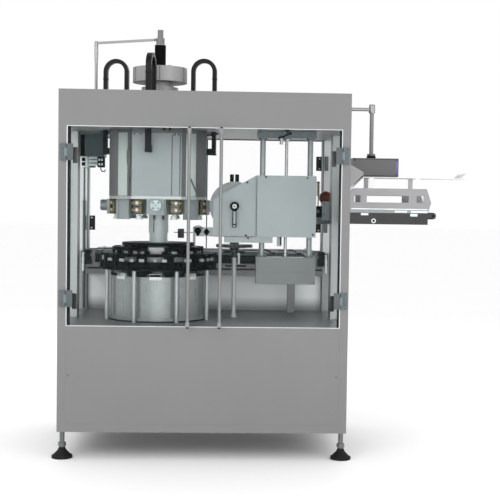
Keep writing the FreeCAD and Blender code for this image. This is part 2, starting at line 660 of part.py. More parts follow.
# Turret base on the deck: base drum with its foot ring and hatches, support posts and the table ring
def turretBase():
    z = ("sillLevel", "drumTop")
    shell = upright("turretX", "0", z, "drumWide / 2")
    hollow = upright("turretX", "0", ("sillLevel", "drumTop - drumWall"), "drumWide / 2 - drumWall")
    through = ("drumTop - 2 * drumWall", "drumTop + drumWall")
    eye = upright("turretX", "0", through, "shaftWide / 2 + shaftRoom")
    keep("base_drum", cut(shell, hollow, eye))
    hatchLow = "sillLevel + ringHigh"
    ring = tube("turretX", "0", ("sillLevel", hatchLow), "ringWide / 2", "drumWide / 2 + fitGap")
    hatches = []
    posts = []
    for index in range(8):
        hatch = doc.addObject("Part::Cylinder", "hatch")
        bind(hatch, Radius="drumWide / 2 + fitGap + hatchThick", Height=f"drumTop - ({hatchLow})",
             Angle="hatchAngle")
        place(hatch, ("turretX", "0", hatchLow))
        bind(hatch, **{"Placement.Rotation.Angle": f"{45 * index} - hatchAngle / 2"})
        hatchBore = upright("turretX", "0", (hatchLow, "drumTop"), "drumWide / 2 + fitGap")
        hatches.append(cut(hatch, hatchBore))
        x, y = polar(22.5 + 45 * index, "postCircle")
        posts.append(upright(x, y, ("sillLevel", "tableTop - tableThick"), "supportWide / 2"))
    keep("drum_hatch", group(ring, *hatches))
    keep("support_posts", group(*posts))
    table = ("tableTop - tableThick", "tableTop")
    keep("table_ring", tube("turretX", "0", table, "starRadius", "tableInner"))
    under = (f"{underDeck} - bearingHigh", underDeck)
    keep("shaft_bearings", group(
        tube("turretX", "0", under, "bearingWide / 2", "shaftWide / 2 + pinPlay"),
        tube(capStarX, capStarY, under, "3 * capShaftRadius", "capShaftRadius + pinPlay"),
    ))


def gear(label, teeth, bore, turn, z, at):
    """A spur gear with straight flanks: a disc with one tooth gap repeated round it."""
    body = newBody(label)
    pitch = f"(toothModule * {teeth} / 2)"
    blank = sketchOn(body, "XY_Plane", z[0])
    drawCircle(blank, f"{pitch} + addendum")
    drawCircle(blank, bore)
    pad(body, blank, f"({z[1]}) - ({z[0]})")
    gap = sketchOn(body, "XY_Plane", z[0])
    halfGap = "(toothModule * pi / 4 + backlash / 2)"
    outer = "(addendum + 2)"
    points = []
    for along, side in ((outer, 1), ("(-dedendum)", 1), ("(-dedendum)", -1), (outer, -1)):
        r = f"({pitch} + {along})"
        w = f"({side} * ({halfGap} + {along} * tan(toothSlope)))"
        points.append((f"{r} * cos({turn}) - {w} * sin({turn})", f"{r} * sin({turn}) + {w} * cos({turn})"))
    drawOutline(gap, points)
    feature = pocketThrough(body, gap)
    repeatRound(body, feature, gap, int(number(teeth)))
    place(body, at)
    return body


def starPlate(label, teeth, radius, inner, pocketRing, z, at, turn="0"):
    """A star wheel plate: a disc with round pockets cut into its rim."""
    body = newBody(label)
    disc = sketchOn(body, "XY_Plane", z[0])
    drawCircle(disc, radius)
    drawCircle(disc, inner)
    pad(body, disc, f"({z[1]}) - ({z[0]})")
    pocket = sketchOn(body, "XY_Plane", z[0])
    drawCircle(pocket, "pocketRadius", (f"({pocketRing}) * cos({turn})", f"({pocketRing}) * sin({turn})"))
    feature = pocketThrough(body, pocket)
    repeatRound(body, feature, pocket, teeth)
    place(body, at)
    return body


def release(label):
    """Takes a piece off the list of files, because a group or a fusion holds it."""
    piece = nodes.pop(label)
    piece.Label = label + "_piece"
    return piece


# Drive below the deck: the turret gear, the pinion that drives it and the gear motor
def drive():
    z = ("gearLow", "gearLow + gearThick")
    centre = ("turretX", "0", "0")
    gapTurn = "(capStarAngle + 180 / ringTeeth)"
    gear("turret_gear", "ringTeeth", "shaftWide / 2 + fitGap", gapTurn, z, centre)
    pinionTurn = "(pinionAngle + 180 + (pinionAngle - capStarAngle) * ringTeeth / pinionTeeth)"
    gear("pinion_rim", "pinionTeeth", "motorShaftWide / 2 + fitGap", pinionTurn, z, (pinionX, pinionY, "0"))
    shaft = upright(pinionX, pinionY, ("gearLow - 40", "gearLow + gearThick + 6"), "motorShaftWide / 2")
    keep("drive_pinion", group(release("pinion_rim"), shaft))
    motorTop = "(gearLow - 14)"
    body = box((f"{pinionX} - motorWide / 2", f"{pinionX} + motorWide / 2"),
               (f"{pinionY} - motorWide / 2", f"{pinionY} + motorWide / 2"),
               (f"{motorTop} - motorWide", motorTop))
    canZ = (f"{motorTop} - motorLong", f"{motorTop} - motorWide")
    can = upright(pinionX, pinionY, canZ, "motorWide * 0.45")
    socket = upright(pinionX, pinionY, ("gearLow - 41", motorTop), "motorShaftWide / 2 + pinPlay")
    armY = (f"{pinionY} - motorWide / 4", f"{pinionY} + motorWide / 4")
    arm = box((innerLeft, f"{pinionX} - motorWide / 4"), armY, (f"{motorTop} - 20", motorTop))
    hanger = box((innerLeft, f"{innerLeft} + 10"), armY, (f"{motorTop} - 20", underDeck))
    keep("gear_motor", cut(fuse(body, can, arm, hanger), socket))


# Turret that turns: shaft, column, star plates, neck ring, heads, drum, manifold and air pipes
def turretShaft():
    body = turned("turret_shaft", [
        ("0", "shaftFoot"), ("shaftWide / 2", "shaftFoot"), ("shaftWide / 2", f"{underDeck} + seatGap"),
        ("shoulderWide / 2", f"{underDeck} + seatGap"), ("shoulderWide / 2", f"{underDeck} + shoulderHigh"),
        ("shaftWide / 2", f"{underDeck} + shoulderHigh"), ("shaftWide / 2", flangeLow), ("0", flangeLow),
    ])
    place(body, ("turretX", "0", "0"))


def starStack():
    centre = ("turretX", "0", "0")
    teeth = 24
    turn = "capStarAngle"
    lower = ("lowerStar", "spacerLow")
    upper = ("upperStar", "upperStarTop")
    starPlate("lower", teeth, "starRadius", "starBore + fitGap", "pocketCircle", lower, centre, turn)
    starPlate("upper", teeth, "starRadius", "ringInner", "pocketCircle", upper, centre, turn)
    spacers = []
    count = int(number("spacerCount"))
    for index in range(count):
        angle = f"capStarAngle + {360 / count * (index + 0.25)}"
        reach = ("hubRadius + 40", "pocketCircle - pocketRadius - 2")
        spacers.append(radialBox(angle, reach, "spacerWide", ("spacerLow", "upperStar")))
    keep("star_plates", group(release("lower"), release("upper"), *spacers))
    legs = []
    count = int(number("legCount"))
    for index in range(count):
        angle = 360 / count * (index + 0.5)
        reach = ("ringInner + 1", "neckRadius - 2")
        legs.append(radialBox(angle, reach, "legWide", ("upperStarTop", "neckLow")))
    ring = tube("turretX", "0", ("neckLow", "neckLow + neckThick"), "neckRadius", "neckInner")
    for angle in (0, 90):
        reach = "neckRadius + 10"
        ring = cut(ring, radialBox(angle, (f"-({reach})", reach), "notchWide",
                                   ("neckLow - 1", "neckLow + neckThick + 1")))
    tier = tube("turretX", "0", ("tierLow", "tierLow + tierThick"), "tierRadius", "starBore + fitGap")
    bosses = []
    for index in range(8):
        x, y = polar(22.5 + 45 * index, "(neckInner + tierRadius) / 2")
        bosses.append(upright(x, y, ("neckLow + neckThick", "tierLow"), "9"))
    keep("neck_plates", group(ring, tier, *bosses, *legs))


def outward(angle, level, reach, radius):
    """A lying cylinder that points away from the turret axis."""
    piece = doc.addObject("Part::Cylinder", "outward")
    bind(piece, Radius=radius, Height=f"({reach[1]}) - ({reach[0]})")
    x, y = polar(angle, reach[0])
    direction = FreeCAD.Rotation(upAxis, angle).multiply(alongX)
    return place(piece, (x, y, level), direction)


def capStar():
    centre = (capStarX, capStarY, "0")
    turn = "(capStarAngle + 180)"
    shaft = "capShaftRadius"
    gear("cap_gear", "starTeeth", shaft + " + fitGap", turn, ("gearLow", "gearLow + gearThick"), centre)
    upper = ("capStarLow", "capStarLow + capStarThick")
    lower = ("capStarLow - 23", "capStarLow - 15")
    pockets = "capStarRadius + runGap * 2"
    starPlate("cap_upper", 8, "capStarRadius", shaft + " + fitGap", pockets, upper, centre, turn)
    disc = tube(capStarX, capStarY, lower, "capStarRadius * 0.62", shaft + " + fitGap")
    hub = tube(capStarX, capStarY, (upper[1], "capStarTop"), "2 * capShaftRadius", shaft + " + fitGap")
    spacer = tube(capStarX, capStarY, (lower[1], upper[0]), "2 * capShaftRadius", shaft + " + fitGap")
    axle = upright(capStarX, capStarY, ("gearLow - 6", "capStarTop"), shaft)
    collar = tube(capStarX, capStarY, (underDeck + " + seatGap", "sillLevel + 12"),
                  "capShaftRadius + shaftRoom / 2", shaft + " + fitGap")
    keep("cap_star", group(release("cap_gear"), release("cap_upper"), disc, hub, spacer, axle, collar))


def turretColumn():
    bore = "(shaftWide / 2 + fitGap)"
    body = turned("turret_column", [
        (bore, "lowerStar"), ("starBore", "lowerStar"), ("starBore", "spacerLow"),
        ("hubRadius", "spacerLow"), ("hubRadius", "hubTop"), ("starBore", "hubTop"),
        ("starBore", "tierLow + tierThick"),
        ("waistRadius", "tierLow + tierThick"), ("waistRadius", "waistTop"), ("columnRadius", "waistTop"),
        ("columnRadius", "headPlateLow"), (bore, "headPlateLow"),
    ])
    place(body, ("turretX", "0", "0"))


def drumPrism(label, face, half, corner, z):
    """A twelve-sided block round the turret axis: four wide sides, with two narrow ones at each corner."""
    body = newBody(label)
    outline = sketchOn(body, "XY_Plane", z[0])
    points = []
    for c, s in ((1, 0), (0, 1), (-1, 0), (0, -1)):
        for x, y in ((face, f"-({half})"), (face, half), (corner, corner)):
            points.append((f"({x}) * {c} - ({y}) * {s}", f"({x}) * {s} + ({y}) * {c}"))
    drawOutline(outline, points)
    pad(body, outline, f"({z[1]}) - ({z[0]})")
    place(body, ("turretX", "0", "0"))
    return release(label)


def headRing():
    plateTop = "(headPlateLow + headPlateThick)"
    plate = ("headPlateLow", plateTop)
    through = ("headPlateLow - 1", f"{plateTop} + 1")
    keep("head_plate", cut(drumPrism("head_plate", "coverFace", "coverWide / 2", "drumCorner", plate),
                           upright("turretX", "0", through, "shaftWide / 2 + fitGap")))
    pieces = []
    for angle in (0, 90, 180, 270):
        level = "(blockLow + headPlateLow) / 2 + 7"
        pieces.append(fuse(
            radialBox(angle, ("blockInner", "blockOuter"), "blockWide", ("blockLow", "headPlateLow")),
            outward(angle, level, ("blockOuter", "knobReach"), "knobRadius"),
        ))
        pieces.append(radialBox(angle + 45, ("skirtOuter - skirtThick", "skirtOuter"), "skirtWide",
                                ("skirtLow", "headPlateLow")))
    heads = []
    for index in range(8):
        x, y = polar(22.5 + 45 * index, "headRadius")
        reach = ("headRadius - headUnitDeep / 2", "headRadius + headUnitDeep / 2")
        unit = radialBox(22.5 + 45 * index, reach, "headUnitWide", ("blockLow", "headPlateLow"))
        channel = upright(x, y, ("blockLow - 1", "headPlateLow + 1"), "spindleRadius + pinPlay")
        pieces.append(cut(unit, channel))
        spindle = upright(x, y, ("skirtLow", "headPlateLow - seatGap"), "spindleRadius")
        chuck = doc.addObject("Part::Cone", "chuck")
        bind(chuck, Radius1="chuckRadius", Radius2="sleeveRadius", Height="blockLow - skirtLow - 6")
        place(chuck, (x, y, "skirtLow"))
        mouth = doc.addObject("Part::Cone", "mouth")
        bind(mouth, Radius1="chuckRadius - 4", Radius2="spindleRadius", Height="(blockLow - skirtLow) / 2")
        place(mouth, (x, y, "skirtLow"))
        heads.append(cut(fuse(spindle, chuck), mouth))
    keep("head_blocks", group(*pieces))
    keep("capping_heads", group(*heads))


def upperDrum():
    plateTop = "(headPlateLow + headPlateThick)"
    bore = "(shaftWide / 2 + fitGap)"
    shell = drumPrism("drum_shell", "coverFace", "coverWide / 2", "drumCorner", (plateTop, "drumShellTop"))
    inside = (f"{plateTop} - 1", "drumShellTop - drumShellWall")
    hollow = drumPrism("drum_hollow", "coverSeat - drumShellWall", "coverWide / 2 + 3 * drumShellWall",
                       "drumCorner - 1.5 * drumShellWall", inside)
    through = ("drumShellTop - 2 * drumShellWall", "drumShellTop + drumShellWall")
    eye = upright("turretX", "0", through, bore)
    seats = []
    covers = []
    for angle in (0, 90, 180, 270):
        seats.append(radialBox(angle, ("coverSeat", "coverFace + 20"), "coverWide + 2 * fitGap",
                               (f"{plateTop} - 1", "coverTop + fitGap")))
        covers.append(radialBox(angle, ("coverSeat", "coverFace"), "coverWide", (plateTop, "coverTop")))
    keep("drum_shell", cut(shell, hollow, eye, *seats))
    keep("drum_covers", group(*covers))
    collarLow = "(manifoldLow - collarHigh)"
    body = turned("manifold", [
        (bore, "drumShellTop"), ("neckTubeRadius", "drumShellTop"), ("neckTubeRadius", flangeLow),
        ("flangeRadius", flangeLow), ("flangeRadius", collarLow), ("collarRadius", collarLow),
        ("collarRadius", "manifoldLow"), ("manifoldRadius", "manifoldLow"),
        ("manifoldRadius", "manifoldTop"), ("mastRadius", "manifoldTop"), ("mastRadius", "mastTop"),
        ("0", "mastTop"), ("0", flangeLow), (bore, flangeLow),
    ])
    place(body, ("turretX", "0", "0"))


def airPipes():
    middle = "(pipeInner + pipeOuter) / 2"
    bendOuter = "((pipeOuter - pipeInner) / 2 + pipeWide / 2)"
    bendInner = "((pipeOuter - pipeInner) / 2 - pipeWide / 2)"
    ys = ("-pipeDeep / 2", "pipeDeep / 2")
    arch = cut(
        lying(alongY, (middle, ys[0], "pipeBend"), "pipeDeep", bendOuter),
        lying(alongY, (middle, f"{ys[0]} - 1", "pipeBend"), "pipeDeep + 2", bendInner),
        box((f"{middle} - {bendOuter} - 1", f"{middle} + {bendOuter} + 1"), (f"{ys[0]} - 1", f"{ys[1]} + 1"),
            (f"pipeBend - {bendOuter} - 1", "pipeBend")),
    )
    innerLeg = ("pipeInner - pipeWide / 2", "pipeInner + pipeWide / 2")
    outerLeg = ("pipeOuter - pipeWide / 2", "pipeOuter + pipeWide / 2")
    endReach = "(coverFace / cos(pipeTurn) - pipeDeep / 2 * tan(pipeTurn) + fitGap)"
    pieces = [
        arch,
        box(innerLeg, ys, ("drumShellTop", "pipeBend")),
        box(outerLeg, ys, ("pipeFoot", "pipeBend")),
        box((endReach, outerLeg[1]), ys, ("pipeFoot", "pipeFoot + pipeFootHigh")),
    ]
    master = fuse(*pieces)
    copies = []
    for index in range(4):
        copy = doc.addObject("Part::Compound", "pipe")
        copy.Links = [master]
        place(copy, ("turretX", "0", "0"), FreeCAD.Rotation(upAxis, number("pipeTurn") + 90 * index))
        bind(copy, **{"Placement.Rotation.Angle": f"pipeTurn + {90 * index}"})
        copies.append(copy)
    keep("air_pipes", group(*copies))


# Conveyor behind the turret: side rails on legs, bearing blocks, chain, rollers and guide rails
def conveyor():
    frontRail = ("conveyorFront", "conveyorFront + railThick")
    backRail = (f"{conveyorBack} - railThick", conveyorBack)
    reach = ("-conveyorReach", "conveyorReach")
    pieces = []
    for ys in (frontRail, backRail):
        pieces.append(box(reach, ys, ("railLow", "railTop")))
        for sign in (-1, 1):
            end = (f"{sign} * rollerAxisX - blockHalf", f"{sign} * rollerAxisX + blockHalf")
            block = box(end, ys, ("railTop", f"{chainAxis} + blockHalf * 2"))
            hole = lying(alongY, (f"{sign} * rollerAxisX", f"{ys[0]} - 1", chainAxis), "railThick + 2",
                         "axleRadius + pinPlay")
            pieces.append(cut(block, hole))
    for sign in (-1, 1):
        x = f"{sign} * (rollerAxisX - conveyorLegInset)"
        pieces.append(box((f"{x} - conveyorLegWide / 2", f"{x} + conveyorLegWide / 2"),
                          (frontRail[1], backRail[0]), ("sillLevel", "railTop - 20")))
    keep("conveyor_frame", group(*pieces))
    inside = (f"{frontRail[1]} + runGap", f"{backRail[0]} - runGap")
    wide = f"({inside[1]}) - ({inside[0]})"
    loops = []
    rollers = ("-rollerAxisX", "rollerAxisX")
    for radius in ("rollerRadius + chainThick", "rollerRadius"):
        z = (f"{chainAxis} - ({radius})", f"{chainAxis} + ({radius})")
        run = box(rollers, inside, z)
        ends = [lying(alongY, (x, inside[0], chainAxis), wide, radius) for x in rollers]
        loops.append(fuse(run, *ends))
    keep("conveyor_chain", cut(*loops))
    for label, sign in (("conveyor_idler_roller", -1), ("conveyor_drive_roller", 1)):
        x = f"{sign} * rollerAxisX"
        keep(label, fuse(
            lying(alongY, (x, inside[0], chainAxis), wide, "rollerRadius - seatGap"),
            lying(alongY, (x, frontRail[0], chainAxis), "conveyorWide", "axleRadius"),
        ))
    guideEnd = "(rollerAxisX - blockHalf - 10)"
    sides = []
    for ys in (frontRail, backRail):
        y = f"{ys[0]} + railThick / 2"
        members = [lying(alongX, (f"-{guideEnd}", y, level), f"2 * {guideEnd}", "guideWide / 2")
                   for level in ("guideLow", "guideHigh")]
        for share in (-1, -1 / 3, 1 / 3, 1):
            x = f"{share} * (rollerAxisX - guidePostInset)"
            members.append(box((f"{x} - guidePostWide / 2", f"{x} + guidePostWide / 2"), ys,
                               ("railTop", "guideHigh + 8")))
        sides.append(fuse(*members))
    keep("guide_rails", group(*sides))


# Feed unit: base box, guide columns, top bracket, lift spindle with its crank, carriage and feed disc
def feedUnit():
    faceY = ("unitFace", "unitFace + baseBoxDeep")
    columns = ("columnLeft", "columnRight")
    pieces = [box(("baseBoxLeft", "baseBoxRight"), faceY, ("baseBoxLow", "baseBoxTop"))]
    for x in columns:
        pieces.append(upright(x, "columnY", ("baseBoxTop", "bracketLow"), "columnWide / 2"))
    bracketY = ("columnY - bracketDeep / 2", "columnY + bracketDeep / 2")
    bracket = box(("baseBoxLeft", "baseBoxRight"), bracketY, ("bracketLow", "headLevel"))
    pieces.append(cut(bracket, upright("spindleX", "columnY", ("bracketLow - 1", "bracketLow + 21"),
                                       "spindleWide / 2 + pinPlay")))
    keep("lift_frame", group(*pieces))
    spindle = upright("spindleX", "columnY", ("baseBoxTop + seatGap", "bracketLow + 20"), "spindleWide / 2")
    crankHub = upright("spindleX", "columnY", ("crankLow", "crankLow + crankThick"), "leverRadius")
    crankZ = ("crankLow", "crankLow + crankThick")
    arm = radialBox("crankTurn", ("0", "crankLong"), "leverWide", crankZ, ("spindleX", "columnY"))
    knobX = "spindleX + crankLong * cos(crankTurn)"
    knobY = "columnY + crankLong * sin(crankTurn)"
    armEnd = upright(knobX, knobY, crankZ, "leverWide / 2")
    knob = upright(knobX, knobY, ("crankLow - 18", "crankLow"), "leverWide / 2 - 1")
    keep("lift_spindle", fuse(spindle, crankHub, arm, armEnd, knob))
    carriageFace = ("unitFace", "unitFace + carriageThick")
    feedFace = ("unitFace + carriageThick", "unitFace + 2 * carriageThick")
    carriage = [
        box(("baseBoxLeft - 2", "baseBoxRight"), carriageFace, ("carriageLow", "carriageTop")),
        box(("feedX - 50", "spindleX - 66"), feedFace, ("carriageLow - 30", "carriageLow")),
        box(("spindleX - 45", "spindleX - 21"), feedFace, ("carriageLow - 46", "carriageLow")),
    ]
    for x in columns:
        for low in ("carriageLow + 14", "carriageTop - 14 - bearingBlockHigh"):
            block = box((f"{x} - bearingBlockWide / 2", f"{x} + bearingBlockWide / 2"),
                        (feedFace[1], "columnY + bearingBlockWide / 2"), (low, f"{low} + bearingBlockHigh"))
            through = (f"{low} - 1", f"{low} + bearingBlockHigh + 1")
            bore = upright(x, "columnY", through, "columnWide / 2 + pinPlay")
            carriage.append(cut(block, bore))
    nut = box(("spindleX - bearingBlockWide / 2", "spindleX + bearingBlockWide / 2"),
              (feedFace[1], "columnY + bearingBlockWide / 2"), ("feedZ - 25", "feedZ + 25"))
    thread = upright("spindleX", "columnY", ("feedZ - 26", "feedZ + 26"), "spindleWide / 2 + pinPlay")
    carriage.append(cut(nut, thread))
    body = newBody("feed_plate")
    outline = sketchOn(body, "XZ_Plane", f"-({feedFace[1]})")
    drawOutline(outline, [
        ("trapLeft", "carriageLow"), ("baseBoxRight", "carriageLow"), ("baseBoxRight", "carriageTop"),
        ("baseBoxLeft - 2", "carriageTop"), ("trapLeft + 38", "trapShoulder + 28"),
        ("trapLeft", "trapShoulder"),
    ])
    drawCircle(outline, "feedShaftWide / 2 + pinPlay", ("feedX", "feedZ"))
    pad(body, outline, "carriageThick")
    carriage.append(release("feed_plate"))
    keep("carriage_plate", group(*carriage))
    cup = cut(
        lying(alongY, ("feedX", feedFace[1], "feedZ"), "housingDeep", "feedRadius"),
        lying(alongY, ("feedX", f"{feedFace[1]} + housingWall", "feedZ"), "housingDeep",
              "feedDiscRadius + runGap"),
        lying(alongY, ("feedX", f"{feedFace[1]} - 1", "feedZ"), "housingWall + 2",
              "feedShaftWide / 2 + pinPlay"),
    )
    pinY = f"{feedFace[1]} + housingDeep / 2"
    pinZ = ("feedZ + feedRadius - 4", "carriageTop")
    pins = [upright(x, pinY, pinZ, "8.5") for x in ("feedX - 14", "feedX + 12")]
    keep("feed_housing", fuse(cup, *pins))
    shaftLow = "unitFace - 14"
    discLow = f"({feedFace[1]} + 12)"
    disc = lying(alongY, ("feedX", discLow, "feedZ"), "feedDiscThick", "feedDiscRadius")
    axle = lying(alongY, ("feedX", shaftLow, "feedZ"), f"{discLow} + feedDiscThick / 2 - ({shaftLow})",
                 "feedShaftWide / 2")
    holes = []
    for index in range(12):
        angle = 30 * index
        x = f"feedX + (feedDiscRadius - 22) * cos({angle})"
        z = f"feedZ + (feedDiscRadius - 22) * sin({angle})"
        holes.append(lying(alongY, (x, f"{discLow} - 1", z), "feedDiscThick + 2", "11"))
    keep("feed_disc", cut(fuse(disc, axle), *holes))
    leverLow = "unitFace - 12"
    leverTop = f"({feedFace[0]} - seatGap)"
    hub = lying(alongY, ("feedX", leverLow, "feedZ"), f"{leverTop} - ({leverLow})", "leverRadius")
    arm = box(("feedX - leverWide / 2", "feedX + leverWide / 2"), (f"{leverLow} + 2", f"{leverLow} + 10"),
              ("feedZ - leverLong", "feedZ"))
    bore = lying(alongY, ("feedX", f"{leverLow} - 1", "feedZ"), f"{leverTop} - ({leverLow}) + 2",
                 "feedShaftWide / 2 + pinPlay")
    keep("clamp_lever", cut(fuse(hub, arm), bore))


# Small units inside the cabinet: guide stand with its sensor, valve box and the ball plunger
def smallUnits():
    standX, standY, barZ = "standX", "standY", ("standTop - 52", "standTop - 2")
    post = upright(standX, standY, ("sillLevel", "standTop"), "standWide / 2")
    foot = upright(standX, standY, ("sillLevel", "sillLevel + 10"), "standWide")
    bar = box((f"{standX} - 6", f"{standX} + 103"), (f"{standY} - 7", f"{standY} + 7"), barZ)
    knob = lying(alongY, (f"{standX} + 22", f"{standY} - 20", "standTop - 20"), "14", "12")
    rod = lying(alongX, (f"{standX} - 110", standY, "standTop - 32"), "108", "3")
    sensor = box((f"{standX} - 90", f"{standX} - 56"), (f"{standY} - 14", f"{standY} + 14"),
                 ("standTop - 62", "standTop - 12"))
    keep("guide_stand", fuse(post, foot, bar, knob, rod, sensor))
    valveX = ("valveLeft", "valveLeft + valveWide")
    pieces = [box(valveX, ("valveFront", "valveFront + valveDeep"), ("valveLow", "headLevel"))]
    connectorY = ("valveFront + 20", "valveFront + 20 + connectorDeep")
    for share in (0.04, 0.38, 0.72):
        connectorLeft = f"(valveLeft + {share} * valveWide)"
        pieces.append(box((connectorLeft, f"{connectorLeft} + connectorWide"), connectorY,
                          ("valveLow - 24", "valveLow")))
    keep("valve_box", group(*pieces))
    postBack = "midPostFront + midPostDeep"
    plate = box(("ballX - 25", "ballX + 38"), (postBack, postBack + " + 6"), ("ballZ - 120", "ballZ - 20"))
    shelf = box(("ballX - 18", "ballX + 18"), (postBack + " + 6", "ballY + 18"),
                ("ballZ - 104", "ballZ - 92"))
    sleeve = upright("ballX", "ballY", ("ballZ - 92", "ballZ - 52"), "14")
    bore = upright("ballX", "ballY", ("ballZ - 105", "ballZ - 51"), "6 + pinPlay")
    keep("knob_bracket", cut(fuse(plate, shelf, sleeve), bore))
    ball = doc.addObject("Part::Sphere", "ball")
    bind(ball, Radius="ballRadius")
    place(ball, ("ballX", "ballY", "ballZ"))
    rod = upright("ballX", "ballY", ("ballZ - 110", "ballZ + 110"), "6")
    keep("ball_plunger", fuse(ball, rod))


# Magazine outside: channel on the side wall, belt and rollers, ladder guard and hopper tray
def magazine():
    ys = ("magazineFront", backOfMagazine)
    skins = ((ys[0], f"{ys[0]} + magazineSkin"), (f"{ys[1]} - magazineSkin", ys[1]))
    floor = ("magazineLow", "magazineLow + magazineSkin")
    pieces = [box((right, "magazineReach"), (skins[0][1], skins[1][0]), floor)]
    inner = "(cabinetWide / 2 + magazineRoller + 12)"
    rollers = (inner, "magazineAxisX")
    for skin in skins:
        side = box((right, "magazineReach"), skin, ("magazineLow", "magazineTop"))
        ear = box(("magazineReach", "magazineAxisX + magazineRoller"), skin,
                  ("magazineAxisZ - 12", "magazineTop"))
        holes = []
        for x in rollers:
            start = (x, f"{skin[0]} - 1", "magazineAxisZ")
            holes.append(lying(alongY, start, "magazineSkin + 2", "axleRadius + pinPlay"))
        pieces.append(cut(fuse(side, ear), *holes))
    keep("magazine_channel", group(*pieces))
    inside = (f"{skins[0][1]} + runGap", f"{skins[1][0]} - runGap")
    wide = f"({inside[1]}) - ({inside[0]})"
    for label, x in (("magazine_idler_roller", rollers[0]), ("magazine_drive_roller", rollers[1])):
        keep(label, fuse(
            lying(alongY, (x, inside[0], "magazineAxisZ"), wide, "magazineRoller - seatGap"),
            lying(alongY, (x, ys[0], "magazineAxisZ"), "magazineWide", "axleRadius"),
        ))
    loops = []
    for radius in ("magazineRoller + magazineBelt", "magazineRoller"):
        run = box(rollers, inside, (f"magazineAxisZ - ({radius})", f"magazineAxisZ + ({radius})"))
        ends = [lying(alongY, (x, inside[0], "magazineAxisZ"), wide, radius) for x in rollers]
        loops.append(fuse(run, *ends))
    keep("magazine_belt", cut(*loops))
    guards = []
    for index, skin in enumerate(skins):
        body = newBody(f"guard_{index}")
        outline = sketchOn(body, "XZ_Plane", f"-({skin[1]})")
        drawOutline(outline, [
            ("guardLeft", "magazineTop"), ("magazineReach", "magazineTop"),
            ("magazineReach + 16", "guardLow"), ("magazineReach - 7", "guardTop"),
            ("guardLeft + 18", "guardTop"), ("guardLeft", "guardTop - 18"),
        ])
        low, high = "guardTop - 71", "guardTop - 36"
        for slot in ((0.05, 0.13), (0.21, 0.75), (0.85, 0.94)):
            start, end = (f"guardLeft + {share} * guardLong" for share in slot)
            drawOutline(outline, [(start, low), (end, low), (end, high), (start, high)])
        pad(body, outline, "magazineSkin")
        guards.append(release(f"guard_{index}"))
    keep("magazine_guard", group(*guards))
    tray = newBody("tray_sheet")
    outline = sketchOn(tray, "XZ_Plane", f"-({ys[1]})")
    drawOutline(outline, [
        ("cabinetWide / 2 + 6", "trayFoot"), ("cabinetWide / 2 + 6 + traySheet", "trayFoot"),
        ("trayLeft + traySheet / 2", "trayLevel - traySheet"), ("trayRight", "trayLevel - traySheet"),
        ("trayRight", "trayLevel + trayLip"), ("trayRight - traySheet", "trayLevel + trayLip"),
        ("trayRight - traySheet", "trayLevel"), ("trayLeft", "trayLevel"),
    ])
    pad(tray, outline, "magazineWide")
    pieces = [release("tray_sheet")]
    for index, skin in enumerate(skins):
        gusset = newBody(f"gusset_{index}")
        outline = sketchOn(gusset, "XZ_Plane", f"-({skin[1]})")
        drawOutline(outline, [
            ("trayRight - traySheet - 30", "trayLevel"), ("trayRight - traySheet", "trayLevel"),
            ("trayRight - traySheet", "trayLevel + trayLip"),
        ])
        pad(gusset, outline, "magazineSkin")
        pieces.append(release(f"gusset_{index}"))
        for share in (0.24, 0.83):
            x = f"guardLeft + {share} * guardLong"
            pieces.append(box((x, f"{x} + 24"), skin, ("guardTop", "trayLevel - traySheet")))
    keep("hopper_tray", group(*pieces))


# Pendant: fixed arm with a socket, and the control box on its pole, which swivels in the socket
def pendant():
    x, y = "pendantX", "pendantY"
    arm = lying(alongX, (right, y, "pendantTop"), f"pendantX - {right}", "pendantPole / 2 - 1")
    plate = box((right, f"{right} + 6"), (f"{y} - 30", f"{y} + 30"), ("pendantTop - 21", "pendantTop + 21"))
    socket = upright(x, y, ("pendantTop - 20", "pendantTop + 20"), "pendantPole / 2 + 6")
    bore = upright(x, y, ("pendantTop - 21", "pendantTop + 21"), "pendantPole / 2 + pinPlay")
    keep("pendant_arm", cut(fuse(arm, plate, socket), bore))
    pole = upright(x, y, ("pendantBoxTop", "pendantTop + 26"), "pendantPole / 2")
    cap = upright(x, y, ("pendantTop + 20 + seatGap", "pendantTop + 26"), "pendantPole / 2 + 4")
    gland = upright(x, y, ("pendantBoxTop", "pendantBoxTop + 25"), "pendantPole")
    case = box((f"{x} - pendantBoxLeft", f"{x} + pendantBoxRight"),
               (f"{y} - pendantBoxDeep / 2", f"{y} + pendantBoxDeep / 2"),
               ("pendantBoxTop - pendantBoxHigh", "pendantBoxTop"))
    keep("control_box", fuse(case, gland, pole, cap))


# Torque arm: holds the rotary union still above the turning mast
def torqueArm():
    union = turned("union", [
        ("0", "mastTop + seatGap"), ("22", "mastTop + seatGap"), ("22", "armLevel + 6"),
        ("15", "armLevel + 6"), ("15", "unionTop"), ("0", "unionTop"),
    ])
    place(union, ("turretX", "0", "0"))
    angle = "(180 - atan(armEndY / (turretX - armEndX)) / 1 deg)"
    long = "sqrt((turretX - armEndX)^2 + armEndY^2)"
    barZ = ("armLevel - torquePole / 2", "armLevel + torquePole / 2")
    bar = radialBox(angle, ("10", long), "torquePole", barZ)
    pole = upright("armEndX", "armEndY", ("cabinetTop", f"{barZ[1]} + 4"), "torquePole / 2 + 2")
    foot = upright("armEndX", "armEndY", ("cabinetTop", "cabinetTop + 8"), "torquePole * 1.5")
    keep("torque_arm", fuse(release("union"), bar, pole, foot))


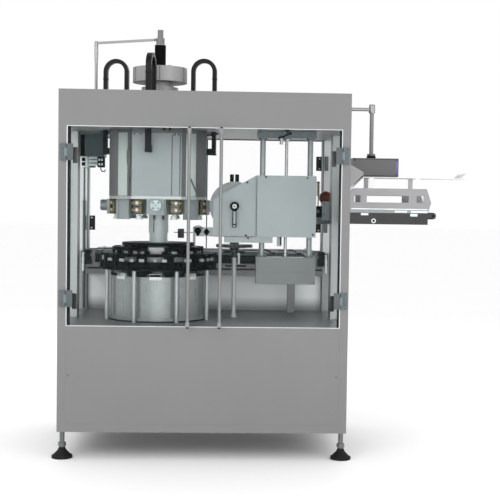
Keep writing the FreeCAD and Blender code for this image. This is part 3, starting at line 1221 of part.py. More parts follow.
# Hinge of a door: fixed leaf with its pin, and moving leaf that carries the pane
def hinge(sideX, sideY, middle, high):
    axisX = f"({sideX} * (cabinetWide / 2 - hingeAxisIn))"
    axisY = f"({sideY} * (cabinetDeep / 2 + hingeAxisOut))"
    z = [f"{middle} + {share} * {high}" for share in (-0.5, -0.25, 0.25, 0.5)]

    def span(first, second):
        """The two ends of a block in rising order, mirrored to this door's side."""
        return (first, second) if number(first) < number(second) else (second, first)

    face = f"{sideY} * cabinetDeep / 2"
    leafFace = f"{sideY} * (cabinetDeep / 2 + hingeLeafThick)"
    plateX = span(f"{axisX} + {sideX} * (barrelWide / 2 + seatGap)", f"{axisX} + {sideX} * hingeLeafWide")
    fixed = [
        box(plateX, span(face, leafFace), (z[0], z[3])),
        upright(axisX, axisY, (z[0], z[3]), "pinWide / 2"),
    ]
    tabX = span(axisX, f"{axisX} + {sideX} * hingeLeafWide / 2")
    tabY = span(leafFace, f"{axisY} + {sideY} * pinWide / 2")
    for low, top in ((z[0], z[1]), (z[2], z[3])):
        fixed.append(upright(axisX, axisY, (low, top), "barrelWide / 2"))
        fixed.append(box(tabX, tabY, (low, top)))
    run = (f"{z[1]} + seatGap", f"{z[2]} - seatGap")
    paneFace = f"{sideY} * (cabinetDeep / 2 - paneRecess)"
    leafY = span(f"{axisY} - {sideY} * hingeLeafThick / 2", f"{axisY} + {sideY} * hingeLeafThick / 2")
    moving = fuse(
        upright(axisX, axisY, run, "barrelWide / 2"),
        box(span(f"{axisX} - {sideX} * (hingeLeafWide + 12)", axisX), leafY, run),
        box(span(f"{axisX} - {sideX} * (hingeLeafWide + 12)", f"{axisX} - {sideX} * 14"),
            span(paneFace, f"{axisY} - {sideY} * hingeLeafThick / 2"), run),
    )
    bore = upright(axisX, axisY, run, "pinWide / 2 + pinPlay")
    return fuse(*fixed), cut(moving, bore)


# Doors: clear panes with full-height handles in front, plain panes behind
def doors():
    fixedLeaves = []
    for side, label in ((-1, "left"), (1, "right")):
        near, far = f"{side} * (doorGap / 2)", f"{side} * ({innerRight} - doorGap - 1)"
        xs = (far, near) if side < 0 else (near, far)
        pane = (f"{front} + paneRecess", f"{front} + paneRecess + paneThick")
        keep("front_door_" + label, box(xs, pane, ("sillLevel + doorGap", "headLevel - doorGap")))
        fittings = []
        for middle in ("upperHingeMid", "lowerHingeMid"):
            fixed, moving = hinge(side, -1, middle, "hingeLeafHigh")
            fixedLeaves.append(fixed)
            fittings.append(moving)
        handleX, handleY = f"{side} * handleInset", f"{front} - handleStand"
        low, high = "sillLevel + doorGap + 2", "headLevel - doorGap - 3"
        fittings.append(upright(handleX, handleY, (f"{low} + standoffLong", f"{high} - standoffLong"),
                                "handleWide / 2"))
        for z in ((low, f"{low} + standoffLong"), (f"{high} - standoffLong", high)):
            fittings.append(box((f"{handleX} - handleWide / 2 - 1", f"{handleX} + handleWide / 2 + 1"),
                                (f"{handleY} - handleWide / 2 - 1", pane[0]), z))
        keep("door_fittings_" + label, group(*fittings))
        rear = (f"{back} - paneRecess - paneThick", f"{back} - paneRecess")
        pieces = [box(xs, rear, ("apronTop + doorGap", "headLevel - doorGap"))]
        for middle in ("rearUpperMid", "rearLowerMid"):
            fixed, moving = hinge(side, 1, middle, "rearHingeHigh")
            fixedLeaves.append(fixed)
            pieces.append(moving)
        keep("rear_door_" + label, group(*pieces))
    keep("hinge_leaves", group(*fixedLeaves))


steps = (frame, covers, sideWindows, feet, turretBase, drive, turretShaft, starStack, capStar, turretColumn,
         headRing, upperDrum, airPipes, conveyor, feedUnit, smallUnits, magazine, pendant, torqueArm, doors)
for step in steps:
    step()
doc.recompute()

faults = [item.Label for item in doc.Objects if "Invalid" in item.State or "Error" in item.State]
if faults:
    raise RuntimeError("features that failed: " + ", ".join(faults))
os.makedirs("parts", exist_ok=True)
for label, target in sorted(nodes.items()):
    shape = target.Shape
    if shape.isNull() or not shape.isValid():
        raise RuntimeError("shape is not valid: " + label)
    shape.exportStep(f"parts/{label}.step")
print(len(nodes), "sub-parts written")
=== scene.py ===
import math
from itertools import product

import bmesh
import bpy
from mathutils import Matrix, Vector


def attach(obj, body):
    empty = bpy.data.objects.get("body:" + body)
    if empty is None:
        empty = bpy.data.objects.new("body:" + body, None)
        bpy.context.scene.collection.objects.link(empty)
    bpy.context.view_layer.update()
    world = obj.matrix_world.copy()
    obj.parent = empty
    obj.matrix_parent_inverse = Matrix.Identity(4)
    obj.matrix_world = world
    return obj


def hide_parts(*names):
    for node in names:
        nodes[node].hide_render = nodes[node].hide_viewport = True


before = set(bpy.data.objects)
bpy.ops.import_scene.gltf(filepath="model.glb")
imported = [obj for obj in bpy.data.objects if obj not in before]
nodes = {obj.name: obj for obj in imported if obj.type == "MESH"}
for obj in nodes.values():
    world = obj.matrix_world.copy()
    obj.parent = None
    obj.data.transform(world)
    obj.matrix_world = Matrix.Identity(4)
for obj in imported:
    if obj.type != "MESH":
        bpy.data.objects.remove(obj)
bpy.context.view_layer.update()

# camera at the photograph's viewing angle, soft studio light
view = {
    "place": (0.03505, -5.47916, 1.23061),
    "yaw": 2.104,  # degrees to the right
    "pitch": 2.358,  # degrees down
    "roll": -0.792,
    "focal": 1048.98,  # pixels on a picture 500 wide
    "picture": 500,
    "film": 36.0,
}


def makeCamera():
    yaw, pitch, roll = (math.radians(view[key]) for key in ("yaw", "pitch", "roll"))
    up = Vector((0, 0, 1))
    ahead = Vector((math.sin(yaw), math.cos(yaw), 0))
    right = Vector((math.cos(yaw), -math.sin(yaw), 0))
    look = ahead * math.cos(pitch) - up * math.sin(pitch)
    upTilted = up * math.cos(pitch) + ahead * math.sin(pitch)
    side = right * math.cos(roll) - upTilted * math.sin(roll)
    top = upTilted * math.cos(roll) + right * math.sin(roll)
    data = bpy.data.cameras.new("camera")
    data.sensor_width = view["film"]
    data.lens = view["focal"] / view["picture"] * view["film"]
    camera = bpy.data.objects.new("camera", data)
    camera.matrix_world = Matrix((side, top, -look)).transposed().to_4x4()
    camera.location = view["place"]
    bpy.context.scene.collection.objects.link(camera)
    bpy.context.scene.camera = camera


def makeLight(name, place, target, size, power):
    data = bpy.data.lights.new(name, "AREA")
    data.shape = "RECTANGLE"
    data.size, data.size_y = size
    data.energy = power
    light = bpy.data.objects.new(name, data)
    light.location = place
    light.rotation_euler = (Vector(target) - Vector(place)).to_track_quat("-Z", "Y").to_euler()
    bpy.context.scene.collection.objects.link(light)


studio = {  # place, target, size and power of each light
    "keyLight": ((-2.6, -4.8, 3.4), (0, 0, 1.0), (2.6, 2.6), 75),
    "fillLight": ((3.6, -4.4, 2.2), (0, 0, 1.0), (2.6, 2.6), 40),
    "frontLight": ((0.2, -5.3, 1.0), (0, 0.3, 0.85), (3.0, 1.4), 34),
    "backLight": ((0.5, 4.2, 3.6), (0, 0, 1.0), (4.0, 2.0), 40),
}
worldStrength = 1.0

makeCamera()
for name, values in studio.items():
    makeLight(name, *values)

world = bpy.data.worlds.new("studio")
bpy.context.scene.world = world
world.use_nodes = True
world.node_tree.nodes["Background"].inputs["Color"].default_value = (1, 1, 1, 1)
world.node_tree.nodes["Background"].inputs["Strength"].default_value = worldStrength
bpy.context.scene.view_settings.view_transform = "Standard"
print("stage: camera and light")


class Wire:  # an output socket; sums and products of wires add Math nodes
    def __init__(self, finish, socket):
        self.finish = finish
        self.socket = socket

    def calc(self, operation, first, second):
        return self.finish.node("ShaderNodeMath", {"operation": operation}, {0: first, 1: second})

    def __add__(self, other):
        return self.calc("ADD", self, other)

    def __radd__(self, other):
        return self.calc("ADD", other, self)

    def __sub__(self, other):
        return self.calc("SUBTRACT", self, other)

    def __rsub__(self, other):
        return self.calc("SUBTRACT", other, self)

    def __mul__(self, other):
        return self.calc("MULTIPLY", self, other)

    def __rmul__(self, other):
        return self.calc("MULTIPLY", other, self)

    def __gt__(self, other):
        return self.calc("GREATER_THAN", self, other)

    def __lt__(self, other):
        return self.calc("LESS_THAN", self, other)

    def __abs__(self):
        return self.calc("ABSOLUTE", self, 0.0)


class Finish:  # one material, with a single way to add nodes to it
    def __init__(self, name):
        self.material = bpy.data.materials.new(name)
        self.material.use_nodes = True
        self.tree = self.material.node_tree
        self.shader = self.tree.nodes["Principled BSDF"]
        self.place = self.node("ShaderNodeTexCoord", {}, {}, "Object")

    def put(self, socket, value):
        if isinstance(value, Wire):
            self.tree.links.new(value.socket, socket)
        elif isinstance(value, tuple) and len(value) == 3 and socket.type == "RGBA":
            socket.default_value = (*value, 1)
        else:
            socket.default_value = value

    def node(self, kind, settings, values, out=0):
        node = self.tree.nodes.new(kind)
        for key, value in settings.items():
            setattr(node, key, value)
        for key, value in values.items():
            self.put(node.inputs[key], value)
        return Wire(self, node.outputs[out])

    def noise(self, scale, detail=3, stretch=None):
        place = self.place
        if stretch:
            place = self.node("ShaderNodeMapping", {}, {"Vector": place, "Scale": stretch})
        values = {"Vector": place, "Scale": scale, "Detail": detail}
        return self.node("ShaderNodeTexNoise", {}, values, "Fac")

    def mix(self, factor, first, second):
        return self.node("ShaderNodeMix", {"data_type": "RGBA"}, {0: factor, 6: first, 7: second}, 2)

    def ramp(self, factor, low, high):  # 0 below low, 1 above high
        return self.node("ShaderNodeMapRange", {}, {"Value": factor, "From Min": low, "From Max": high})

    def axis(self, name):
        return self.node("ShaderNodeSeparateXYZ", {}, {"Vector": self.place}, name)

    def bump(self, height, strength, distance):
        values = {"Height": height, "Strength": strength, "Distance": distance}
        return self.node("ShaderNodeBump", {}, values)

    def set(self, **values):
        for key, value in values.items():
            self.put(self.shader.inputs[key.replace("_", " ")], value)
        return self.material


def scaled(colour, factor):
    return tuple(min(1.0, part * factor) for part in colour)


def dustyPaint(f, colour, dust):  # the shade of a dusty coat, and the broad clouds in it
    broad = f.noise(2.2, 4)
    streaks = f.noise(1.0, 5, (14, 14, 1.5))
    dirt = f.ramp(broad * 0.6 + streaks * 0.4, 0.42, 0.72)
    return f.mix(dirt * (dust * 4), scaled(colour, 1.02), scaled(colour, 0.88)), broad


def paintFinish(name, colour, roughness=0.45, grain=420, dust=0.08):
    f = Finish(name)
    shade, broad = dustyPaint(f, colour, dust)
    return f.set(Base_Color=shade, Roughness=roughness + (broad - 0.5) * 0.16, Metallic=0.0,
                 Normal=f.bump(f.noise(grain, 2), 0.10, 0.0004))


innerSheetLight = {  # metres: where the inner faces that face the front are painted paler, partly as bare pale sheet and partly as painted light for the shaded inside, and the band of painted reflection of the bright opening in which they are lightest
    "ahead": -0.3,  # what stands in front of this keeps its paint
    "half": 0.655,
    "rise": (0.66, 0.72),
    "fall": (0.83, 0.86),
    "upper": (0.97, 0.985),
    "upperShare": 0.68,
    "rear": 0.1,
    "middleShare": 0.16,
}


# painted light: inner faces that face the front get a paler colour, partly bare sheet and partly painted
# light, with bands of painted reflection of the bright opening; outside, dusty paint
def cabinetFinish(name, colour, innerLitColour, reflectionColour):
    f = Finish(name)
    outside, broad = dustyPaint(f, colour, 0.08)
    facing = f.node("ShaderNodeTexCoord", {}, {}, "Normal")
    forward = f.node("ShaderNodeSeparateXYZ", {}, {"Vector": facing}, "Y") < -0.9
    inside = forward * (f.axis("Y") > innerSheetLight["ahead"])
    level = f.axis("Z")
    between = abs(f.axis("X")) < innerSheetLight["half"]
    # painted reflection: on rear faces a light band between 0.66 and 0.86 m high and a lighter part above
    # 0.97 m, on middle faces a faint even share
    reflectionBand = f.ramp(level, *innerSheetLight["rise"]) * (1 - f.ramp(level, *innerSheetLight["fall"])) * between
    reflectionBand = reflectionBand + f.ramp(level, *innerSheetLight["upper"]) * innerSheetLight["upperShare"]
    rear, middle = f.axis("Y") > innerSheetLight["rear"], f.axis("Y") < innerSheetLight["rear"]
    reflectionBand = reflectionBand * rear + middle * innerSheetLight["middleShare"]
    sheetAndReflection = f.mix(reflectionBand, innerLitColour, reflectionColour)
    return f.set(Base_Color=f.mix(inside, outside, sheetAndReflection), Roughness=0.45 + (broad - 0.5) * 0.16,
                 Metallic=0.0, Normal=f.bump(f.noise(420, 2), 0.10, 0.0004))


def steelFinish(name, colour, along="Z", roughness=0.3, metallic=0.9, scratch=0.06):
    f = Finish(name)
    stretch = {"X": (6, 500, 500), "Y": (500, 6, 500), "Z": (500, 500, 6)}[along]
    brush = f.noise(1.0, 4, stretch)
    cloud = f.noise(6, 3)
    smear = f.noise(24, 5)
    shade = f.mix(brush, scaled(colour, 1 - scratch * 2), scaled(colour, 1 + scratch))
    shade = f.mix(f.ramp(cloud, 0.45, 0.75) * 0.35, shade, scaled(colour, 0.8))
    return f.set(Base_Color=shade, Metallic=metallic, Normal=f.bump(brush, 0.08, 0.0003),
                 Roughness=roughness + (brush - 0.5) * 0.2 + (smear - 0.5) * 0.14)


def plasticFinish(name, colour, roughness=0.45, grain=700, bump=0.12, gloss=0.25):
    f = Finish(name)
    fine = f.noise(grain, 3)
    wear = f.noise(18, 5)
    shade = f.mix(f.ramp(wear, 0.45, 0.7), colour, tuple(part * 1.25 + 0.004 for part in colour))
    return f.set(Base_Color=shade, Roughness=roughness + (wear - 0.5) * 0.25, Metallic=0.0,
                 Specular_IOR_Level=gloss, Normal=f.bump(fine, bump, 0.0004))


def clearFinish(name, colour, alpha=0.007):
    f = Finish(name)
    smear = f.noise(3.0, 6, (1, 1, 0.35))
    haze = f.ramp(smear, 0.45, 0.8)
    return f.set(Base_Color=f.mix(haze, colour, scaled(colour, 0.9)), Roughness=0.04 + haze * 0.1,
                 Alpha=alpha + haze * 0.006, Metallic=0.0)


def rubberFinish(name, colour, roughness=0.7):
    f = Finish(name)
    fine = f.noise(900, 2)
    bloom = f.noise(30, 4)
    shade = f.mix(f.ramp(bloom, 0.5, 0.8), colour, tuple(part + 0.012 for part in colour))
    return f.set(Base_Color=shade, Roughness=roughness + (bloom - 0.5) * 0.2, Specular_IOR_Level=0.2,
                 Normal=f.bump(fine, 0.2, 0.0005))


def brassFinish(name, colour, dark):
    f = Finish(name)
    rings = f.noise(1.0, 3, (60, 60, 900))
    tarnish = f.noise(90, 5)
    shade = f.mix(f.ramp(tarnish, 0.42, 0.7), colour, scaled(colour, dark))
    return f.set(Base_Color=shade, Metallic=0.7, Roughness=0.3 + (tarnish - 0.4) * 0.4,
                 Normal=f.bump(rings, 0.15, 0.0004))


def hingeFinish(name, frontColour, backColour):  # grey-green hinges at the front, black ones at the back
    f = Finish(name)
    grain = f.noise(600, 2)
    wear = f.noise(14, 4)
    rear = f.axis("Y") > 0.0
    lit = f.mix(f.ramp(wear, 0.45, 0.7), frontColour, scaled(frontColour, 0.85))
    return f.set(Base_Color=f.mix(rear, lit, backColour), Roughness=0.45 + (wear - 0.5) * 0.2,
                 Normal=f.bump(grain, 0.12, 0.0004))


def fittingsFinish(name, rodColour, leafColour):  # a bright handle, with painted hinge leaves at the side
    f = Finish(name)
    brush = f.noise(1.0, 4, (500, 500, 6))
    wear = f.noise(14, 4)
    leaf = abs(f.axis("X")) > 0.5
    rod = f.mix(brush, scaled(rodColour, 0.88), scaled(rodColour, 1.06))
    return f.set(Base_Color=f.mix(leaf, rod, leafColour), Metallic=0.55 - leaf * 0.5,
                 Roughness=0.32 + (wear - 0.5) * 0.2 + leaf * 0.15, Normal=f.bump(brush, 0.06, 0.0003))


sensorPlace = {"left": -0.151, "right": -0.115, "low": 1.055, "high": 1.107}  # metres


def standFinish(name, litBarColour, sensorColour):  # a pale bar, made paler still as painted light for the shade it stands in, with the dark sensor on its thin rod
    f = Finish(name)
    wear = f.noise(16, 4)
    brush = f.noise(1.0, 4, (6, 500, 500))
    across, level = f.axis("X"), f.axis("Z")
    sensor = (across > sensorPlace["left"]) * (across < sensorPlace["right"])
    sensor = sensor * (level > sensorPlace["low"]) * (level < sensorPlace["high"])
    bar = f.mix(brush, scaled(litBarColour, 0.9), scaled(litBarColour, 1.05))
    return f.set(Base_Color=f.mix(sensor, bar, sensorColour), Metallic=0.2 - sensor * 0.2,
                 Roughness=0.42 + (wear - 0.5) * 0.2, Normal=f.bump(brush, 0.05, 0.0003))


# one colour below a level on an axis, another above it
def splitFinish(name, lower, upper, axis, level, metal=0.3):
    f = Finish(name)
    brush = f.noise(1.0, 4, (500, 500, 6))
    above = f.axis(axis) > level
    shade = f.mix(above, lower, upper)
    return f.set(Base_Color=f.mix(brush, f.mix(above, scaled(lower, 0.9), scaled(upper, 0.9)), shade),
                 Metallic=metal - above * metal, Roughness=0.4 + (brush - 0.5) * 0.1,
                 Normal=f.bump(brush, 0.05, 0.0003))


liftLevels = {"foot": 0.845, "box": 0.981, "bracket": 1.574}  # metres


# painted box and bracket, bare columns between them, and a foot under the box that is pale to match the
# painted reflection on the rear sheet behind it
def liftFinish(name, boxColour, columnColour, bracketColour, footColour):
    f = Finish(name)
    brush = f.noise(1.0, 4, (500, 500, 6))
    wear = f.noise(16, 4)
    level = f.axis("Z")
    column = (level > liftLevels["box"]) * (level < liftLevels["bracket"])
    upper = level > liftLevels["bracket"]
    worn = f.mix(upper, scaled(boxColour, 0.9), scaled(bracketColour, 0.9))
    paint = f.mix(f.ramp(wear, 0.45, 0.75), f.mix(upper, boxColour, bracketColour), worn)
    bare = f.mix(brush, scaled(columnColour, 0.9), scaled(columnColour, 1.05))
    paint = f.mix(level < liftLevels["foot"], paint, footColour)
    return f.set(Base_Color=f.mix(column, paint, bare), Metallic=column * 0.6,
                 Roughness=0.46 - column * 0.14 + (brush - 0.5) * 0.1, Normal=f.bump(brush, 0.05, 0.0003))


steels = {  # colour, direction of the brushing, roughness, metallic, depth of the scratches
    "deckSteel": ((0.12, 0.128, 0.126), "X", 0.42, 0.3),
    "brightSteel": ((0.36, 0.385, 0.39), "Z", 0.32, 0.6),
    "satinPlate": ((0.245, 0.280, 0.285), "Z", 0.42, 0.2, 0.03),
    "drumSteel": ((0.235, 0.25, 0.247), "Z", 0.3, 0.4),
    "hatchSteel": ((0.25, 0.275, 0.275), "Z", 0.3, 0.5),
    "rodSteel": ((0.34, 0.35, 0.355), "Z", 0.24, 0.8),
    "paleSteel": ((0.62, 0.66, 0.66), "Z", 0.35, 0.3),
    # partly pale steel, partly painted light: made paler to make up for the shade under the head plate
    "columnSteel": ((0.50, 0.56, 0.56), "Z", 0.42, 0.15),
    "discSteel": ((0.35, 0.35, 0.35), "Z", 0.4, 0.2),
    # painted light: the pale blocks that show between the star plates
    "linerSteel": ((0.34, 0.36, 0.36), "Z", 0.4, 0.3),
    "railSteel": ((0.17, 0.175, 0.175), "X", 0.4, 0.3),
    # painted shade: the drum shell is given a dark colour that stands in for the dark reflection of its
    # steep sides
    "drumBand": ((0.10, 0.105, 0.105), "Z", 0.34, 0.4),
    # painted highlight: the pale colour of the drum's corner facets
    "drumFacet": ((0.42, 0.48, 0.46), "Z", 0.4, 0.2),
    "darkSteel": ((0.033, 0.033, 0.034), "X", 0.42, 0.4),
    "guardSteel": ((0.28, 0.28, 0.285), "X", 0.4, 0.3),
    "zincSteel": ((0.16, 0.165, 0.165), "Z", 0.35, 0.6),
    "chuckMetal": ((0.52, 0.57, 0.56), "Z", 0.4, 0.3),
}
paints = {  # colour, roughness, grain
    "castGrey": ((0.10, 0.112, 0.115), 0.5, 500),
    "housingGrey": ((0.17, 0.19, 0.19), 0.45, 500),
    "cheekGrey": ((0.27, 0.27, 0.27), 0.45, 500),
    "lineGrey": ((0.07, 0.078, 0.078), 0.5, 500),
    "bracketGrey": ((0.068, 0.082, 0.084), 0.45, 500),
    "valveTeal": ((0.040, 0.062, 0.068), 0.45, 600),
    "whiteCoat": ((0.72, 0.73, 0.73), 0.4),
}
plastics = {  # colour, roughness, grain, bump, gloss
    "knobFace": ((0.37, 0.46, 0.475), 0.4, 500, 0.06),
    "blackPlastic": ((0.0012, 0.0012, 0.0013), 0.55, 700, 0.12, 0.04),
    "blackCoat": ((0.0045, 0.0045, 0.005), 0.52, 700, 0.12, 0.15),
    "whitePlastic": ((0.70, 0.78, 0.79), 0.35, 500, 0.06),
    "pipeBlack": ((0.003, 0.003, 0.003), 0.4, 700, 0.12, 0.15),
    "ballBrown": ((0.105, 0.017, 0.003), 0.28, 400, 0.05, 0.04),
    "violetPlastic": ((0.19, 0.14, 0.42), 0.4),
}
brasses = {  # colour, share of it that is left where it is tarnished
    "brassPart": ((0.38, 0.30, 0.13), 0.45),
    "oldBrass": ((0.085, 0.075, 0.040), 0.5),
    "copperWire": ((0.30, 0.15, 0.05), 0.45),
}
splits = {  # lower colour, upper colour, axis, level, metallic of the lower part
    # painted light: the cap star's lower part is pale to match the painted reflection on the rear sheet
    # behind it
    "starUnit": ((0.42, 0.455, 0.46), (0.004, 0.004, 0.0045), "Z", 0.962),
    "controlUnit": ((0.125, 0.125, 0.127), (0.22, 0.22, 0.22), "Z", 1.52, 0.0),
    "torqueUnit": ((0.36, 0.36, 0.36), (0.17, 0.17, 0.17), "X", -0.275, 0.6),
}
others = {
    # outside paint, the paler inner colour that is partly painted light, and the colour of the painted
    # reflection
    "cabinetPaint": (cabinetFinish, (0.172, 0.172, 0.172), (0.28, 0.30, 0.30), (0.93, 0.97, 0.97)),
    "liftUnit": (liftFinish, (0.125, 0.143, 0.140), (0.22, 0.245, 0.25), (0.105, 0.13, 0.135),
                 (0.50, 0.54, 0.55)),
    # painted light: the bar's colour is raised to make up for the shade it stands in
    "standBar": (standFinish, (0.80, 0.84, 0.84), (0.016, 0.014, 0.026)),
    "clearSheet": (clearFinish, (0.30, 0.46, 0.46)),
    "footRubber": (rubberFinish, (0.008, 0.008, 0.0085)),
    "hingePaint": (hingeFinish, (0.085, 0.112, 0.118), (0.008, 0.008, 0.009)),
    "doorFittings": (fittingsFinish, (0.20, 0.208, 0.206), (0.15, 0.195, 0.205)),
}

finishes = {name: make(name, *values) for name, (make, *values) in others.items()}
for make, table in ((steelFinish, steels), (paintFinish, paints), (plasticFinish, plastics),
                    (brassFinish, brasses), (splitFinish, splits)):
    for name, values in table.items():
        finishes[name] = make(name, *values)

nodeFinishes = {
    "cabinetPaint": ("frame", "lower_panels", "header_covers", "roof_plate"),
    "deckSteel": ("deck_plate", "ceiling_plate"),
    "clearSheet": ("side_windows", "front_door_left", "front_door_right", "rear_door_left",
                   "rear_door_right"),
    "footRubber": ("foot_pads",),
    "zincSteel": ("foot_stems", "drive_pinion"),
    "hingePaint": ("hinge_leaves",),
    "doorFittings": ("door_fittings_left", "door_fittings_right"),
    "drumSteel": ("base_drum",),
    "hatchSteel": ("drum_hatch",),
    "brightSteel": ("support_posts", "turret_shaft", "head_plate", "feed_disc", "guide_rails"),
    "drumBand": ("drum_shell",),
    "liftUnit": ("lift_frame",),
    "housingGrey": ("feed_housing",),
    "chuckMetal": ("capping_heads",),
    "satinPlate": ("head_blocks", "drum_covers", "carriage_plate", "knob_bracket"),
    "rodSteel": ("lift_spindle", "pendant_arm"),
    "blackPlastic": ("table_ring", "star_plates", "neck_plates", "conveyor_chain", "magazine_belt",
                     "conveyor_drive_roller", "conveyor_idler_roller", "magazine_drive_roller",
                     "magazine_idler_roller"),
    "blackCoat": ("clamp_lever",),
    "starUnit": ("cap_star",),
    "discSteel": ("manifold",),
    "columnSteel": ("turret_column",),
    "castGrey": ("shaft_bearings", "gear_motor", "turret_gear"),
    "controlUnit": ("control_box",),
    "torqueUnit": ("torque_arm",),
    "railSteel": ("conveyor_frame",),
    "valveTeal": ("valve_box",),
    "darkSteel": ("magazine_channel",),
    "standBar": ("guide_stand",),
    "guardSteel": ("magazine_guard",),
    "whiteCoat": ("hopper_tray",),
    "pipeBlack": ("air_pipes",),
    "ballBrown": ("ball_plunger",),
}


def dressNodes():
    for finish, names in nodeFinishes.items():
        for name in names:
            if name not in nodes:
                continue
            slots = nodes[name].data.materials
            for index in range(len(slots)):
                slots[index] = finishes[finish]
            if not slots:
                slots.append(finishes[finish])


dressNodes()
print("stage: finishes on", len(nodes), "nodes")


# the tools that shape the pieces, in millimetres
turretX = -242
toLeft, toRight, toFront, toBack, upward = (-1, 0, 0), (1, 0, 0), (0, -1, 0), (0, 1, 0), (0, 0, 1)
doorSides = ((-1, "left"), (1, "right"))
quarters = (0, 90, 180, 270)


def circle(radius, sides):  # the corners of a regular outline
    turns = [2 * math.pi * step / sides for step in range(sides)]
    return [(radius * math.cos(turn), radius * math.sin(turn)) for turn in turns]


def aimed(start, direction):  # local Z points in the direction
    turn = Vector(direction).to_track_quat("Z", "Y").to_matrix().to_4x4()
    return Matrix.Translation(Vector(start)) @ turn


def onTurret(angle):  # local X points outward from the turret axis, Y along the rim
    return Matrix.Translation((turretX, 0, 0)) @ Matrix.Rotation(math.radians(angle), 4, "Z")


def spot(matrix, *place):
    return matrix @ Vector(place)


def heading(matrix, *direction):
    return matrix.to_3x3() @ Vector(direction)


def upright(x, y):  # local Z is the upright line through a place
    return Matrix.Translation((x, y, 0))


def span(side, near, far):  # two X values in order, on the left where side is -1
    return sorted((side * near, side * far))


class Form:
    def __init__(self):
        self.mesh = bmesh.new()

    def add(self, part, matrix=None):
        if matrix is not None:
            bmesh.ops.transform(part, matrix=matrix, verts=part.verts)
        holder = bpy.data.meshes.new("holder")
        part.to_mesh(holder)
        part.free()
        self.mesh.from_mesh(holder)
        bpy.data.meshes.remove(holder)
        return self

    def block(self, low, high, edge=1.0, matrix=None, rounds=2):
        part = bmesh.new()
        bmesh.ops.create_cube(part, size=1)
        for vert in part.verts:
            vert.co = [a if side < 0 else b for side, a, b in zip(vert.co, low, high)]
        thin = min(abs(b - a) for a, b in zip(low, high))
        bmesh.ops.bevel(part, geom=part.edges[:], offset=min(edge, thin * 0.45), segments=rounds,
                        affect="EDGES", profile=0.5)
        return self.add(part, matrix)

    def plates(self, rows, front, back, rounds=2):  # rows of left, right, low, high and edge
        for left, right, low, high, edge in rows:
            self.block((left, front, low), (right, back, high), edge, None, rounds)

    def lathe(self, profile, matrix=None, sides=32, closed=False):  # pairs of radius and height
        part = bmesh.new()
        rings = []
        for radius, height in profile:
            corners = circle(radius, sides) if radius >= 0.001 else [(0, 0)]
            rings.append([part.verts.new((x, y, height)) for x, y in corners])
        pairs = list(zip(rings, rings[1:]))
        if closed:
            pairs.append((rings[-1], rings[0]))
        for first, second in pairs:
            for step in range(sides):
                after = (step + 1) % sides
                corners = [first[step % len(first)], first[after % len(first)],
                           second[after % len(second)], second[step % len(second)]]
                corners = list(dict.fromkeys(corners))
                if len(corners) > 2:
                    part.faces.new(corners)
        if not closed:
            for ring in (rings[0], rings[-1]):
                if len(ring) > 2:
                    part.faces.new(ring)
        return self.add(part, matrix)

    def rod(self, start, end, radius, edge=0.8, sides=24):
        start, end = Vector(start), Vector(end)
        long = (end - start).length
        edge = min(edge, radius * 0.4, long * 0.4)
        profile = [(0, 0), (radius - edge, 0), (radius, edge), (radius, long - edge),
                   (radius - edge, long), (0, long)]
        return self.lathe(profile, aimed(start, end - start), sides)

    def post(self, x, y, low, high, radius, edge=0.8):  # an upright rod
        return self.rod((x, y, low), (x, y, high), radius, edge)

    def ring(self, inner, outer, low, high, matrix=None, edge=0.8, sides=64):
        edge = min(edge, (outer - inner) * 0.3, (high - low) * 0.3)
        profile = [(inner, low), (outer - edge, low), (outer, low + edge), (outer, high - edge),
                   (outer - edge, high), (inner, high)]
        return self.lathe(profile, matrix, sides, True)

    def hexNut(self, start, direction, across, high):
        radius = across / math.sqrt(3)
        profile = [(0, 0), (radius * 0.93, 0), (radius, high * 0.12), (radius, high * 0.88),
                   (radius * 0.93, high), (0, high)]
        return self.lathe(profile, aimed(start, direction), 6)

    def screw(self, start, direction, radius, high=3.0):  # a domed head with a socket
        dome = [(0, 0), (radius, 0), (radius, high * 0.45), (radius * 0.86, high * 0.85),
                (radius * 0.5, high), (radius * 0.45, high * 0.45), (0, high * 0.45)]
        return self.lathe(dome, aimed(start, direction), 20)

    def screws(self, xs, ys, zs, direction, radius, high=3.0):  # one at each crossing
        for place in product(xs, ys, zs):
            self.screw(place, direction, radius, high)

    def sweep(self, points, radius, sides=12):
        points = [Vector(point) for point in points]
        part = bmesh.new()
        rings = []
        across = None
        for index, point in enumerate(points):
            before, after = points[max(index - 1, 0)], points[min(index + 1, len(points) - 1)]
            ahead = (after - before).normalized()
            if across is None:
                across = ahead.orthogonal().normalized()
            across = (across - ahead * across.dot(ahead)).normalized()
            up = ahead.cross(across)
            edge = [point + (across * x + up * y) * radius for x, y in circle(1, sides)]
            rings.append([part.verts.new(place) for place in edge])
        for first, second in zip(rings, rings[1:]):
            for step in range(sides):
                after = (step + 1) % sides
                part.faces.new((first[step], first[after], second[after], second[step]))
        part.faces.new(rings[0])
        part.faces.new(rings[-1])
        return self.add(part)

    def spring(self, foot, top, radius, wire, turns, steps=16):
        foot, top = Vector(foot), Vector(top)
        aim = aimed(foot, top - foot)
        long = (top - foot).length
        total = turns * steps
        points = []
        for step in range(total + 1):
            angle = 2 * math.pi * step / steps
            points.append(spot(aim, radius * math.cos(angle), radius * math.sin(angle), long * step / total))
        return self.sweep(points, wire, 8)

    def slab(self, outline, low, high, matrix=None, edge=0.6):  # a flat outline between two levels
        part = bmesh.new()
        face = part.faces.new([part.verts.new((x, y, low)) for x, y in outline])
        made = bmesh.ops.extrude_face_region(part, geom=[face])
        raised = [item for item in made["geom"] if isinstance(item, bmesh.types.BMVert)]
        bmesh.ops.translate(part, vec=(0, 0, high - low), verts=raised)
        bmesh.ops.recalc_face_normals(part, faces=part.faces[:])
        sharp = [item for item in part.edges if item.calc_face_angle(0) > 0.6]
        bmesh.ops.bevel(part, geom=sharp, offset=edge, segments=1, affect="EDGES")
        return self.add(part, matrix)


